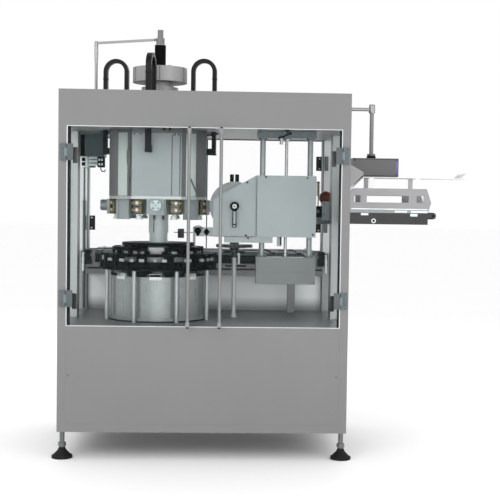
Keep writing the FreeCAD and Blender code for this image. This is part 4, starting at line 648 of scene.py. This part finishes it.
def makePiece(name, form, body, finish, smooth=34):
    bmesh.ops.scale(form.mesh, vec=(0.001, 0.001, 0.001), verts=form.mesh.verts)
    bmesh.ops.recalc_face_normals(form.mesh, faces=form.mesh.faces[:])
    mesh = bpy.data.meshes.new(name)
    form.mesh.to_mesh(mesh)
    form.mesh.free()
    mesh.shade_smooth()
    mesh.set_sharp_from_angle(angle=math.radians(smooth))
    mesh.materials.append(finishes[finish])
    piece = bpy.data.objects.new(name, mesh)
    bpy.context.scene.collection.objects.link(piece)
    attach(piece, body)
    return piece


def makePieces(table):  # each row of a piece holds a shape and its values
    for name, (body, finish, slot, *rows) in table.items():
        form = Form()
        for shape, *values in rows:
            shape(form, *values)
        makePiece(name, form, body, finish)


# strips and seals round the door openings, the tube on the left post, the screws of the panels
opening = {"half": 660, "low": 647, "high": 1607, "rearLow": 985, "trim": 4, "rearTrim": 13}
catches = ((-208, -190), (-177, -166), (379, 405))  # of the doors, under the header
panelScrew = {"radius": 5, "high": 2.4, "across": 700, "front": -440, "rear": 440}


def openingPieces():
    half, low, high, rearLow, trim, rearTrim = opening.values()
    inner, rearInner = half - trim, half - rearTrim
    makePieces({
        "opening_trim": (
            "cabinet", "paleSteel", "frame_paint",
            (Form.plates, ((-half, -inner, low, high, 0.6), (inner, half, low, high, 0.6),
                           (-inner, inner, low, low + 3, 0.6), (-inner, inner, high - 3, high, 0.6)),
             -441, -424),
            (Form.plates, ((-half, -rearInner, rearLow, high, 0.8), (rearInner, half, rearLow, high, 0.8)),
             424, 429.8),
        ),
        "opening_seals": (
            "cabinet", "footRubber", "black_plastic",
            (Form.plates, ((-656, -642, low + 3, high - 3, 2.5), (647, 656, low + 3, high - 3, 2.5)),
             -428, -416, 3),
            (Form.plates, ((-rearInner, rearInner, high - 5, high, 1),
                           (-rearInner, rearInner, rearLow, rearLow + 3, 0.8)), 424, 429.6),
            (Form.plates, [(left, right, high - 12, high, 4) for left, right in catches], -424, -406, 3),
            *((Form.post, (left + right) / 2, -415, high - 18, high - 10, 5, 1) for left, right in catches),
        ),
        "post_tube": (
            "cabinet", "lineGrey", "black_plastic",
            (Form.plates, ((-681.5, -671.5, 1252, high, 0.5),), 398.4, 400, 1),
            (Form.post, -676, 389, 655, 1246, 7, 1),
            (Form.post, -676, 389, 1246, 1252, 9, 1.5),
        ),
        "rear_meeting_strip": (
            "rear_door_right", "lineGrey", "black_plastic",
            (Form.plates, ((2.2, 8.5, 990, 1602, 1.2),), 423.5, 429.8),
        ),
    })


def panelScrews():
    radius, tall, across, front, rear = panelScrew.values()
    form = Form()
    form.screws((-647, 647), (front,), (410,), toFront, radius, tall)
    form.screws((-647, -330, 0, 330, 647), (rear,), (185, 597), toBack, radius, tall)
    form.screws((-670, 670), (rear,), (1640, 1750), toBack, radius, tall)
    for x, way in ((-across, toLeft), (across, toRight)):
        form.screws((x,), (-380, 0, 380), (195, 600), way, radius, tall)
        form.screws((x,), (-410, 410), (1640, 1750), way, radius, tall)
    makePiece("panel_screws", form, "cabinet", "zincSteel")


openingPieces()
panelScrews()

# door fittings, each with its distances from the middle (near, far), its front and its back
clamps = {
    "half": 40,
    "inner": (610, 632, -430, -419),  # behind the front panes
    "innerLevels": (1466, 766),
    "block": (627.5, 657.5, -453, -446),  # on the front panes
    "blockLevels": (1480, 780),
    "rear": (618, 650, 423.5, 429.9),
    "rearBlock": (627.5, 657.5, 446, 451.6),
    "rearLevels": (1478, 1130),
    "pad": (663, 684, 391, 399.9),  # on the rear posts
    "handle": (76, -486),
    "caps": ((1599.5, 1606), (646, 653.5)),  # at the ends of each handle
}


def doorPlate(form, side, part, middle, edge, less=0):
    near, far, front, back = clamps[part]
    left, right = span(side, near, far)
    half = clamps["half"] - less
    form.block((left, front, middle - half), (right, back, middle + half), edge)


def doorClamps():
    pads = Form()
    for side, label in doorSides:
        inner, blocks, heads, rear, bolts = (Form() for index in range(5))
        for middle in clamps["innerLevels"]:
            doorPlate(inner, side, "inner", middle, 2, 2)
        for middle in clamps["blockLevels"]:
            doorPlate(blocks, side, "block", middle, 1.6)
            heads.screws((side * 683,), (-445,), (middle - 24, middle + 24), toFront, 3.4, 1.6)
        for middle in clamps["rearLevels"]:
            doorPlate(rear, side, "rear", middle, 1.6)
            doorPlate(rear, side, "rearBlock", middle, 1.6)
            doorPlate(pads, side, "pad", middle, 1.5)
            levels = (middle - 28, middle + 28)
            bolts.screws((side * 637,), (423.5,), levels, toFront, 4.5, 2.4)
            bolts.screws((side * 640,), (451.6,), levels, toBack, 4.5, 2)
            pads.screws((side * 673,), (391,), levels, toFront, 3.5, 2)
        makePiece("front_clamps_" + label, inner, "front_door_" + label, "darkSteel")
        makePiece("hinge_blocks_" + label, blocks, "front_door_" + label, "bracketGrey")
        makePiece("hinge_screws_" + label, heads, "cabinet", "zincSteel")
        makePiece("rear_clamps_" + label, rear, "rear_door_" + label, "blackCoat")
        makePiece("rear_clamp_screws_" + label, bolts, "rear_door_" + label, "paleSteel")
    makePiece("post_pads", pads, "cabinet", "castGrey")
    x, y = clamps["handle"]
    for side, label in doorSides:
        caps = Form()
        for low, high in clamps["caps"]:
            caps.lathe([(0, low), (4.5, low), (6.5, low + 2), (6.5, high - 2), (4.5, high), (0, high)],
                       upright(side * x, y), 24)
        makePiece("handle_caps_" + label, caps, "front_door_" + label, "blackPlastic")


doorClamps()
print("stage: openings and door fittings")

# base drum: black seal at its foot, a tab and two bolts over each hatch
drumFoot = {"deck": 647, "seal": 6, "tabWide": 62, "tabTop": 889, "drumTop": 872, "bolt": 39}


def drumTabs():
    deck, seal, wide, tabTop, top, across = drumFoot.values()
    rim, tabs, bolts = Form(), Form(), Form()
    rim.ring(262, 266, deck, deck + seal, onTurret(0), 1.5)
    makePiece("drum_foot_seal", rim, "cabinet", "footRubber")
    for index in range(8):
        at = onTurret(45 * index)
        tabs.block((236, -wide / 2, top), (252, wide / 2, tabTop), 1.5, at)
        tabs.block((249.3, -wide / 2, top - 14), (252, wide / 2, tabTop - 2), 1, at)
        for y in (-across, across):
            bolts.rod(spot(at, 238, y, top), spot(at, 238, y, top + 15), 3.5)
            bolts.hexNut(spot(at, 238, y, top + 4), upward, 11, 6)
    makePiece("hatch_tabs", tabs, "cabinet", "paleSteel")
    makePiece("hatch_bolts", bolts, "cabinet", "darkSteel")


drumTabs()

# head ring: a guide frame with brass rollers beside each head, lines and round knobs on the blocks
headUnit = {
    "face": 244,
    "half": 31,
    "low": 1187,
    "high": 1261,
    "plate": 3,
    "rows": (1207, 1242),
    "roller": 8,
    "lines": (  # first angle, then two corners
        (45, (245.6, -30, 1164), (246.8, -26, 1258)),
        (0, (263.6, 40, 1188), (264.8, 43.5, 1258)),
    ),
}


def headUnits():
    frames, rollers, pins, lines = Form(), Form(), Form(), Form()
    face, half, low, high, plate, rows, radius, blockLines = headUnit.values()
    for index in range(8):
        at = onTurret(22.5 + 45 * index)
        for side in (-1, 1):
            near, far = span(side, half, half - 5)
            frames.block((face - 20, near, low), (face + 12, far, high), 1, at)
        for level in (low, (low + high) / 2 - 3, high - 6):
            frames.block((face, -half + 5, level), (face + plate + 2, half - 5, level + 6), 1, at)
        for row in rows:
            for side in (-1, 1):
                start, end = spot(at, face + 7, side * 8, row), spot(at, face + 7, side * 25.5, row)
                rollers.rod(start, end, radius, 1.5, 20)
                step = (end - start).normalized() * 0.8
                for share in (0.25, 0.5, 0.75):
                    middle = start.lerp(end, share)
                    rollers.rod(middle - step, middle + step, radius + 1, 0.3, 20)
            pins.block((face + 2, -7, row - 8), (face + 13, 7, row + 8), 2, at)
        pins.rod(spot(at, face - 2, 0, low - 5), spot(at, face - 2, 0, low + 1), 6, 1)
    makePiece("head_unit_frames", frames, "turret", "oldBrass")
    makePiece("head_unit_rollers", rollers, "turret", "brassPart")
    makePiece("head_unit_pins", pins, "turret", "paleSteel")
    for (first, corner, opposite), turn in product(blockLines, quarters):
        lines.block(corner, opposite, 0.4, onTurret(first + turn), 1)
    makePiece("head_block_lines", lines, "turret", "lineGrey")


knob = {"level": 1230.5, "radius": 27, "start": 264, "ribs": 30, "screws": 18.5}


def blockKnobs():
    level, radius, start, count, screwRadius = knob.values()
    ribs, faces, screws = Form(), Form(), Form()
    wide, barrel = radius + 1.2, radius + 0.3
    for angle in quarters:
        at = onTurret(angle)
        out = heading(at, 1, 0, 0)
        aim = aimed(spot(at, start, 0, level), out)
        ribs.lathe([(0, 0), (wide, 0), (wide, 4), (barrel, 5), (barrel, 30), (wide, 31), (wide, 34.5),
                    (0, 34.5)], aim, 48)
        for x, y in circle(radius, count):
            ribs.rod(spot(aim, x, y, 4), spot(aim, x, y, 31), 1.6, 0.4, 6)
        faces.lathe([(0, 34), (24.5, 34), (26.5, 35), (26.5, 36.6), (25.5, 37.6), (0, 37.6)], aim, 48)
        for step in range(4):
            turn = math.radians(45 + 90 * step)
            x, y = screwRadius * math.cos(turn), screwRadius * math.sin(turn)
            screws.screw(spot(aim, x, y, 37.6), out, 3.4, 1.8)
        screws.screw(spot(aim, 0, 0, 37.6), out, 2.2, 1.0)
    makePiece("knob_ribs", ribs, "turret", "hatchSteel")
    makePiece("knob_faces", faces, "turret", "knobFace")
    makePiece("knob_screws", screws, "turret", "blackPlastic")


headUnits()
blockKnobs()

# upper drum: lines and screws on the covers, dark rods, and pale facets of painted highlight in the corners
cover = {"face": 245, "top": 1582, "lines": (73, 113), "lineWide": 5, "screws": (-112, -81, 89, 108)}
drumRod = {"out": 238, "across": -138, "radius": 5, "ends": (1277, 1592), "sleeve": (11, 1425, 1513)}
# pale plates of painted highlight, only on the corner faces beside the covers at 90 and 270 degrees
facet = {
    "corners": ((245, 123), (197, 197)),  # outward and across
    "shares": (0.30, 0.95),  # where it starts and ends between the corners
    "low": 1278,
    "high": 1592,
    "thick": 1.6,
}


def upperDrumDetail():
    rods, lines, heads, facets = Form(), Form(), Form(), Form()
    face, top, places, wide, screws = cover.values()
    for angle in quarters:
        at = onTurret(angle)
        for y in places:
            lines.block((face - 0.4, y, 1279), (face + 1.4, y + wide, top), 0.6, at, 1)
            lines.block((face - 0.4, y, top - 4), (face + 1.4, y + 16, top), 0.6, at, 1)
        for y in screws:
            heads.screw(spot(at, face, y, top + 2), heading(at, 1, 0, 0), 4.6, 2.2)
    x, y, radius, (foot, head), (sleeve, low, high) = drumRod.values()
    for angle in (90, 270):
        at = onTurret(angle)
        rods.rod(spot(at, x, y, foot), spot(at, x, y, head), radius)
        rods.lathe([(0, low), (5, low), (sleeve, low + 14), (sleeve, high - 14), (5, high), (0, high)],
                   at @ upright(x, y), 28)
        rods.rod(spot(at, 220, 168, 1368), spot(at, 200, 200, 1292), 4)
        for side in (-1, 1):
            start, end = (Vector((out, side * across, 0)) for out, across in facet["corners"])
            first, last = (start.lerp(end, share) for share in facet["shares"])
            reach = last - first
            turn = Matrix.Translation(first) @ Matrix.Rotation(math.atan2(reach.y, reach.x), 4, "Z")
            inner, outer = (-0.3, facet["thick"]) if side < 0 else (-facet["thick"], 0.3)
            facets.block((0, inner, facet["low"]), (reach.length, outer, facet["high"]), 0.6, at @ turn)
    makePiece("drum_highlight_facets", facets, "turret", "drumFacet")
    makePiece("drum_rods", rods, "turret", "lineGrey")
    makePiece("cover_lines", lines, "turret", "lineGrey")
    makePiece("cover_screws", heads, "turret", "darkSteel")


# lower column: a long line, and a mark at each side of its top
columnMarks = {
    "radius": 51,
    "line": -22,
    "lineEnds": (1092, 1186),
    "marks": (-20, 26),
    "markEnds": (1158, 1180),
}


def columnDetail():
    radius, y, (foot, top), marks, (low, high) = columnMarks.values()
    form = Form()
    x = math.sqrt(radius ** 2 - y ** 2)
    for angle in (90, 270):
        at = onTurret(angle)
        form.rod(spot(at, x, y, foot), spot(at, x, y, top), 2.2, 0.5, 10)
        for mark in marks:
            turn = at @ Matrix.Rotation(math.asin(mark / radius), 4, "Z")
            form.block((radius - 2, -7, low), (radius + 1.4, 7, high), 1.2, turn)
    makePiece("column_marks", form, "turret", "lineGrey")


# pale blocks of painted light where the lit hub shows between the star plates, and the saddles round the hub
windows = (  # radius, low, high, and the turn and half width of each in degrees
    (288, 949, 964, ((-56, 4), (-36.5, 3.1), (-24.5, 2.2), (-14, 2.7), (-0.3, 1.2), (9.2, 2.2))),
    (231, 988, 1001, ((-40, 5.3), (-27.7, 2.9), (-16, 3.4), (23, 3.4), (33.6, 2.1))),
)


def starLightPatches():
    lightPatches, saddles = Form(), Form()
    for angle in quarters:
        for radius, low, high, places in windows:
            for turn, half in places:
                wide = radius * math.radians(half)
                lightPatches.block((radius - 8, -wide, low), (radius, wide, high), 1, onTurret(270 + angle + turn))
        saddles.block((150, -41, 977), (199, 41, 1019), 2, onTurret(angle))
        for y in (-38, -16, 12, 34):
            saddles.block((198, y, 979), (201, y + 6, 1017), 1, onTurret(angle))
    makePiece("star_light_patches", lightPatches, "turret", "linerSteel")
    makePiece("hub_saddles", saddles, "turret", "discSteel")


# the black sleeve of the mast above the roof, with its grooves
mast = {"inner": 26, "radius": 28.9, "low": 1941, "high": 2058, "grooves": (1960, 1990, 2020, 2045)}


def mastSleeve():
    inner, radius, low, high, grooves = mast.values()
    profile = [(inner, low), (radius + 3, low), (radius + 3, low + 8), (radius, low + 9)]
    for level in grooves:
        profile += [(radius, level), (radius - 0.6, level + 0.6), (radius - 0.6, level + 2),
                    (radius, level + 2.6)]
    profile += [(radius, high - 1.5), (radius - 1.5, high), (inner, high)]
    sleeve = Form().lathe(profile, onTurret(0), 48)
    makePiece("mast_sleeve", sleeve, "turret", "blackPlastic")


# collars of the air pipes, dark lines of painted shade on the manifold's rim, the sleeve of the torque arm's
# pole
pipes = {
    "turn": -8.3,
    "inner": 175,  # distances from the turret axis to the pipe's two legs
    "outer": 286,
    "top": 1700,
    "half": (10.5, 14),
    "levels": (1492.8, 1700, 1880),
}
manifoldShadeLines = (-97, -88, -30, -8, 30, 83, 92, 150, 172, 210)  # degrees at which the lines of painted shade stand


def pipeFittings():
    collars, lines = Form(), Form()
    turn, inner, outer, top, half, levels = pipes.values()

    def collar(at, x, low, high, over, edge):
        across, along = (size + over for size in half)
        collars.block((x - across, -along, low), (x + across, along, high), edge, at)

    for angle in quarters:
        at = onTurret(turn + angle)
        collar(at, inner, top, top + 9, 7, 2)
        collar(at, inner, top + 9, top + 22, 1.5, 1)
        for y in (-18, 18):
            collars.screw(spot(at, inner, y, top + 9), upward, 2.6, 2)
        for level in levels:
            collar(at, outer, level, level + 11, 1.2, 1)
    makePiece("pipe_fittings", collars, "turret", "pipeBlack")
    for angle in manifoldShadeLines:
        lines.block((139.4, -1.6, 1866), (140.8, 1.6, 1937), 0.4, onTurret(angle), 1)
    makePiece("manifold_shade_lines", lines, "turret", "lineGrey")
    sleeve = Form().lathe([(8.1, 1972), (8.6, 1972), (10.8, 2036), (10.8, 2092), (9.8, 2095), (8.1, 2095)],
                          upright(-589, 160), 28, True)
    makePiece("torque_pole_sleeve", sleeve, "cabinet", "rodSteel")


upperDrumDetail()
columnDetail()
starLightPatches()
mastSleeve()
pipeFittings()
print("stage: turret details")

# conveyor: chain links, lines and slots of the rail, guide clamps, bearings
chain = {"axisX": 628, "level": 939, "radius": 21, "deep": (318.5, 373.5), "links": 104, "thick": 1.6}


def chainLinks():
    form = Form()
    axisX, level, radius, (front, back), count, thick = chain.values()
    straight, bend = 2 * axisX, math.pi * radius
    pitch = (2 * straight + 2 * bend) / count
    half = pitch / 2 - 0.7
    for index in range(count):
        along = (index + 0.5) * pitch
        if along < straight:
            x, z, turn = -axisX + along, level + radius, 0
        elif along < straight + bend:
            turn = (along - straight) / radius
            x, z = axisX + radius * math.sin(turn), level + radius * math.cos(turn)
        elif along < 2 * straight + bend:
            x, z, turn = axisX - (along - straight - bend), level - radius, math.pi
        else:
            turn = math.pi + (along - 2 * straight - bend) / radius
            x, z = -axisX + radius * math.sin(turn), level + radius * math.cos(turn)
        at = Matrix.Translation((x, 0, z)) @ Matrix.Rotation(turn, 4, "Y")
        form.block((-half, front, -0.6), (half, back, thick - 0.6), 0.5, at, 1)
    makePiece("chain_links", form, "cabinet", "blackCoat")


rail = {
    "faces": ((308, -1), (384, 1)),  # depth of each face, and the way it looks
    "slots": (-520, -345, -175, 0, 170, 345, 520),
    "slotHalf": 54,
    "bolts": 560,  # the outermost ones of the guide rails
    "clips": ((-420, -360), (-300, -240), (160, 214), (325, 386), (464, 531)),
    "clipPath": ((0, 304, 993), (0.2, 303, 994), (0.4, 302.5, 989), (0.6, 302.5, 981), (0.8, 303, 975),
                 (1, 304, 975)),  # share of the reach, depth, level
    "clamps": ((905, 948, 622, 668), (940, 976, 630, 678), (966, 986, 624, 662)),  # low, high, near, far
    "strips": ((-600, -430), (95, 330), (400, 458)),
    "pin": 666,  # the white pin at each end of the frame
}


def conveyorDetail():
    faces, slots, half, farthest, clips, path, ends, strips, pin = rail.values()
    axisX, level = chain["axisX"], chain["level"]
    dark, steel, pins = Form(), Form(), Form()
    for y, way in faces:
        facing = (0, way, 0)
        front, back = sorted((y, y + way * 1.2))
        dark.block((-650, front, 879.5), (650, back, 889), 0.3, None, 1)
        for x in slots:
            dark.block((x - half, front, 898.5), (x + half, back, 908), 0.5, None, 1)
            for end in (x - half, x + half):
                dark.rod((end, y, 903.2), (end, y + way * 1.2, 903.2), 4.7, 0.2)
        for side in (-1, 1):
            steel.ring(9, 19, 0, 6, aimed((side * axisX, y, level), facing), 1.5, 40)
            steel.rod((side * axisX, y, level), (side * axisX, y + way * 9, level), 6.5, 1)
            steel.screws((side * 614, side * 642), (y,), (920, 976), facing, 4.5)
        for share in (-1, -1 / 3, 1 / 3, 1):
            x = share * farthest
            steel.rod((x, y - way, 985), (x, y + way * 9, 985), 7, 1)
            steel.screw((x, y + way * 9, 985), facing, 4.5)
    for left, right in clips:
        dark.sweep([(left + (right - left) * share, y, z) for share, y, z in path], 3.4)
        for x, z in ((left + 4, 993), (right - 4, 976)):
            dark.rod((x, 303, z), (x, 314, z), 5.5, 1)
    for side in (-1, 1):
        for low, high, near, far in ends:
            left, right = span(side, near, far)
            dark.block((left, 296, low), (right, 309, high), 3)
        pins.post(side * pin, 291, 868, 966, 6.5, 2)
        pins.post(side * pin, 291, 966, 970, 8.5, 1)
        for z in (918, 958):
            dark.block((side * pin - 10, 288, z - 7), (side * pin + 10, 299, z + 7), 2)
    dark.block((-600, 321, 921), (600, 327, 957), 1, None, 1)
    for (left, right), low in product(strips, (976, 988.5)):
        dark.block((left, 302.6, low), (right, 305, low + 4.5), 0.6, None, 1)
    makePiece("conveyor_end_pins", pins, "cabinet", "paleSteel")
    makePiece("conveyor_lines", dark, "cabinet", "blackCoat")
    makePiece("conveyor_bearings", steel, "cabinet", "zincSteel")


chainLinks()
conveyorDetail()
print("stage: conveyor details")

# feed unit: screws, lines and capped pins on its housing, and the clamp lever's ring, face and slot
feed = {"face": -250, "leverX": 147, "leverZ": 1232, "leverFace": -262, "pins": (133, 159), "pinY": -210}


def feedPieces():
    face, x, z, near, pins, pinY = feed.values()
    fittings = Form()
    for place in ((209, 1351), (206, 1088), (217, 1075), (302, 1380), (510, 1377), (540, 1095)):
        fittings.screw((place[0], face, place[1]), toFront, 4.6)
    fittings.plates(((257, 259, 1083, 1372, 0.3), (43, 256, 1080.2, 1082, 0.3)), face - 0.7, face + 0.5, 1)
    fittings.plates(((377, 384, 1042, 1086, 1.5),), face, face + 6)
    for pinX in pins:
        fittings.ring(8.6, 10, 1357, 1388, upright(pinX, pinY), 0.6, 32)
        fittings.lathe([(0, 1388), (10, 1388), (10, 1390.5), (8, 1392), (0, 1392)], upright(pinX, pinY), 32)
    makePiece("feed_fittings", fittings, "carriage", "blackPlastic")
    aim = aimed((x, near, z), toFront)
    makePieces({
        "lever_ring": (
            "clamp", "blackPlastic", "lever_black",
            (Form.ring, 12.4, 22.7, -0.5, 2.4, aim, 1, 48),
            (Form.plates, ((x - 10.2, x - 7.8, 1128, 1210, 0.4), (x + 7.8, x + 10.2, 1128, 1210, 0.4)),
             near + 0.8, near + 2.4, 1),
            (Form.rod, (x, near + 1, z), (x, near - 2.4, z), 3.6),
        ),
        "lever_face": (
            "clamp", "satinPlate", "bright_steel",
            (Form.lathe, ((0, -0.5), (12.2, -0.5), (12.2, 0.8), (11, 1.6), (0, 1.6)), aim, 40),
            (Form.plates, ((x - 6, x + 6, 1144, 1207, 0.6),), near + 1, near + 2.4),
            (Form.plates, ((x - 6, x + 6, 1129, 1138, 0.6),), near + 0.6, near + 2.4),
        ),
    })


# guide columns: screws of the box and the bracket, collars of the columns, a small handle
columns = {"places": (287, 526), "depth": -205, "collars": ((14, 24, 980, 990), (14, 22, 1566, 1575))}
# guide stand: a round knob with its pointer and bow, and a diamond plate
stand = {"knob": (-40, 242, 1098), "diamond": (7, 255, 1090), "bow": (26, 23, 2.6)}


def standPieces():
    places, depth, collars = columns.values()
    (x, y, z), diamond, (wide, tall, wire) = stand.values()
    turns = [math.radians(20 + 14 * step) for step in range(11)]
    makePieces({
        "lift_details": (
            "cabinet", "zincSteel", "zinc_steel",
            (Form.screws, (270, 543), (-250,), (860, 965), toFront, 6, 3.4),
            (Form.plates, ((256, 557, 903, 905, 0.4),), -251.5, -249, 1),
            *((Form.ring, *ring, upright(across, depth), 1.5, 40) for across in places for ring in collars),
            (Form.screws, (275, 320, 492, 537), (-235,), (1591,), toFront, 5),
        ),
        "bracket_handle": (
            "cabinet", "blackPlastic", "lever_black",
            (Form.rod, (420, -234, 1598), (420, -243, 1598), 7, 1),
            (Form.rod, (374, -240, 1576), (420, -240, 1598), 3.6, 1),
            (Form.lathe, ((0, -10), (5, -8.5), (8, -4), (9, 0), (8, 4), (5, 8.5), (0, 10)),
             aimed((370, -240, 1574), (-46, 0, -22)), 24),
        ),
        "stand_knob": (
            "cabinet", "blackPlastic", "black_plastic",
            (Form.lathe, ((0, -1), (14, -1), (19, 3), (19, 8), (12, 13), (0, 14)),
             aimed((x, y, z), toFront), 36),
            (Form.lathe, ((0, 0), (5, 3), (9, 16), (9, 20), (0, 20)),
             Matrix.Translation((x, y - 5, z - 32)), 24),
            (Form.sweep, [(x + wide * math.cos(a), y - 2, z + 2 + tall * math.sin(a)) for a in turns], wire),
            (Form.slab, ((-17, 0), (0, -23), (17, 0), (0, 23)), -1, 3, aimed(diamond, toFront)),
        ),
    })


feedPieces()
standPieces()

# valve box: connectors with their plugs, a clip, and the lines and screws of its cover
bodies, plugs, coverLines = (196, 244), (194.8, 198), (178.8, 180.4)  # front and back
makePieces({
    "valve_connectors": (
        "cabinet", "whitePlastic", "white_coat",
        (Form.plates, ((-671, -636, 1432, 1489, 2), (-627, -584, 1440, 1489, 2)), *bodies),
        (Form.plates, [(x, x + 9, z, z + 12, 0.8) for x in (-577, -563) for z in (1442, 1466)], *plugs),
    ),
    "valve_plugs": (
        "cabinet", "blackPlastic", "black_plastic",
        (Form.plates, ((-583, -546, 1432, 1489, 2),), *bodies),
        (Form.plates, ((-667, -648, 1439, 1458, 1), (-667, -648, 1463, 1482, 1),
                       (-626, -585, 1452, 1456, 0.6), (-626, -585, 1470, 1474, 0.6)), *plugs),
        (Form.screws, (-640, -600, -560), (180,), (1596,), toFront, 4, 2),
        (Form.plates, ((-675, -649, 1491, 1604, 0.5), (-649, -550, 1500, 1501.5, 0.3)), *coverLines, 1),
        (Form.sweep, ((-566, 214, 1434), (-566, 212, 1420), (-558, 210, 1410), (-546, 210, 1410),
                      (-541, 210, 1420)), 3),
    ),
})

# ball plunger, and on its bracket a black stop with a post and a spring, and a cast block
ball = {"x": 645, "y": 150, "z": 1284, "radius": 36, "neck": 8.5, "stem": 6}
stop = {"x": 601, "y": 112, "foot": 1294, "top": 1364}


def ballPieces():
    x, y, z, radius, neck, stemRadius = ball.values()
    turns = [math.radians(-76 + 6 * step) for step in range(28)]
    profile = [(0, z - radius - 2), (neck, z - radius - 2), (neck, z + radius * math.sin(turns[0]))]
    profile += [(radius * math.cos(a), z + radius * math.sin(a)) for a in turns[1:-1]]
    profile += [(6, z + radius - 0.6), (5, z + radius - 2), (0, z + radius - 2)]
    knobForm = Form().lathe(profile, upright(x, y), 56)
    makePiece("ball_knob", knobForm, "plunger", "ballBrown")
    stem = Form().post(x, y, 1174, z - radius - 3, stemRadius, 1)
    stem.ring(stemRadius, 10, 1244, 1248, upright(x, y), 1, 32)
    piece = makePiece("ball_stem", stem, "plunger", "rodSteel")
    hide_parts("ball_plunger")
    x, y, foot, top = stop.values()
    makePieces({
        "ball_hook": (
            "cabinet", "blackPlastic", "black_plastic",
            (Form.block, (592, 100, 1180), (629, 140, 1240), 4, None, 3),
            (Form.post, x, y, 1238, foot, 3.2),
            (Form.post, x, y, foot - 4, top + 4, 2.6),
            (Form.post, x, y, top, top + 6, 9, 1.5),
            (Form.block, (592, 104, 1176), (602, 134, 1184)),
        ),
        "ball_spring": (
            "cabinet", "copperWire", "brass_parts",
            (Form.spring, (x, y, foot), (x, y, top), 8.5, 1.9, 9),
        ),
        "bracket_block": (
            "cabinet", "bracketGrey", "zinc_steel",
            (Form.block, (592, 86, 1144), (665, 138, 1180), 3, None, 3),
            (Form.block, (593, 98.8, 1203), (607, 101, 1219), 0.8),
            (Form.screws, (630, 672), (80,), (1196, 1252), toFront, 4.5, 2.6),
        ),
    })


ballPieces()

# control box: two lines and four screws on its front, the joint on its top, a violet stripe
boxFace = 30
makePieces({
    "control_marks": (
        "pendant", "blackCoat", "black_plastic",
        (Form.plates, ((775, 1011, 1402, 1404, 0.3), (775, 1011, 1489, 1491, 0.3)),
         boxFace - 1.2, boxFace + 1, 1),
        (Form.screws, (781, 1005), (boxFace,), (1410, 1484), toFront, 4, 2),
        (Form.post, 879, 100, 1495, 1513, 25, 6),
        (Form.post, 879, 100, 1510, 1517, 17, 2),
    ),
    "control_stripes": (
        "pendant", "violetPlastic", "control_coat",
        (Form.plates, ((1001, 1010, 1405, 1488, 0.6),), boxFace - 1.6, boxFace + 0.5),
    ),
})

# magazine: the hopper's grey cheeks and their white edges, white strips on the channel, a ringed hole
magazine = {
    "front": -180,
    "rear": 20,
    "cheek": ((706, 1468), (800, 1413), (800, 1389), (706, 1293)),
    "edge": ((703, 1293), (797, 1389), (797, 1400), (703, 1304)),
    "strips": ((790, 828, 1196, 1207, 0.5), (1042, 1079, 1193, 1206, 0.5), (962, 1025, 1212, 1221, 0.5),
               (1045, 1130, 1212, 1221, 0.5), (740, 1130, 1226, 1231, 0.5)),
    "hole": (855, 1168),
}


def magazinePieces():
    front, rear, cheek, edge, strips, (x, z) = magazine.values()
    facing = Matrix.Rotation(math.pi / 2, 4, "X")
    makePieces({
        "hopper_cheeks": (
            "cabinet", "cheekGrey", "white_coat",
            (Form.slab, cheek, -front - 2, -front, facing, 0.4),
            (Form.slab, cheek, -rear, 2 - rear, facing, 0.4),
        ),
        "magazine_edges": (
            "cabinet", "whitePlastic", "white_coat",
            (Form.slab, edge, -front - 3, -front, facing, 0.4),
            (Form.slab, edge, -rear, 3 - rear, facing, 0.4),
            (Form.plates, strips, front - 1, front + 0.5, 1),
            (Form.plates, strips, rear - 0.5, rear + 1, 1),
            (Form.ring, 6.3, 11.7, -0.4, 1.4, aimed((x, front, z), toFront), 0.5, 32),
        ),
        "magazine_hole": (
            "cabinet", "blackPlastic", "black_plastic",
            (Form.rod, (x, front + 0.5, z), (x, front - 0.8, z), 6.3, 0.3),
        ),
    })


magazinePieces()
print("stage: small units")

floorReach = 60  # metres each way


def makeFloor():
    f = Finish("paleFloor")
    mottle = f.noise(0.8, 4)
    shade = f.mix(mottle, (0.965, 0.965, 0.965), (0.985, 0.985, 0.985))
    mesh = bpy.data.meshes.new("floor")
    corners = [(x * floorReach, y * floorReach, 0) for x, y in ((-1, -1), (1, -1), (1, 1), (-1, 1))]
    mesh.from_pydata(corners, [], [(0, 1, 2, 3)])
    mesh.materials.append(f.set(Base_Color=shade, Roughness=0.85))
    floor = bpy.data.objects.new("floor", mesh)
    bpy.context.scene.collection.objects.link(floor)


makeFloor()
print("stage: floor")
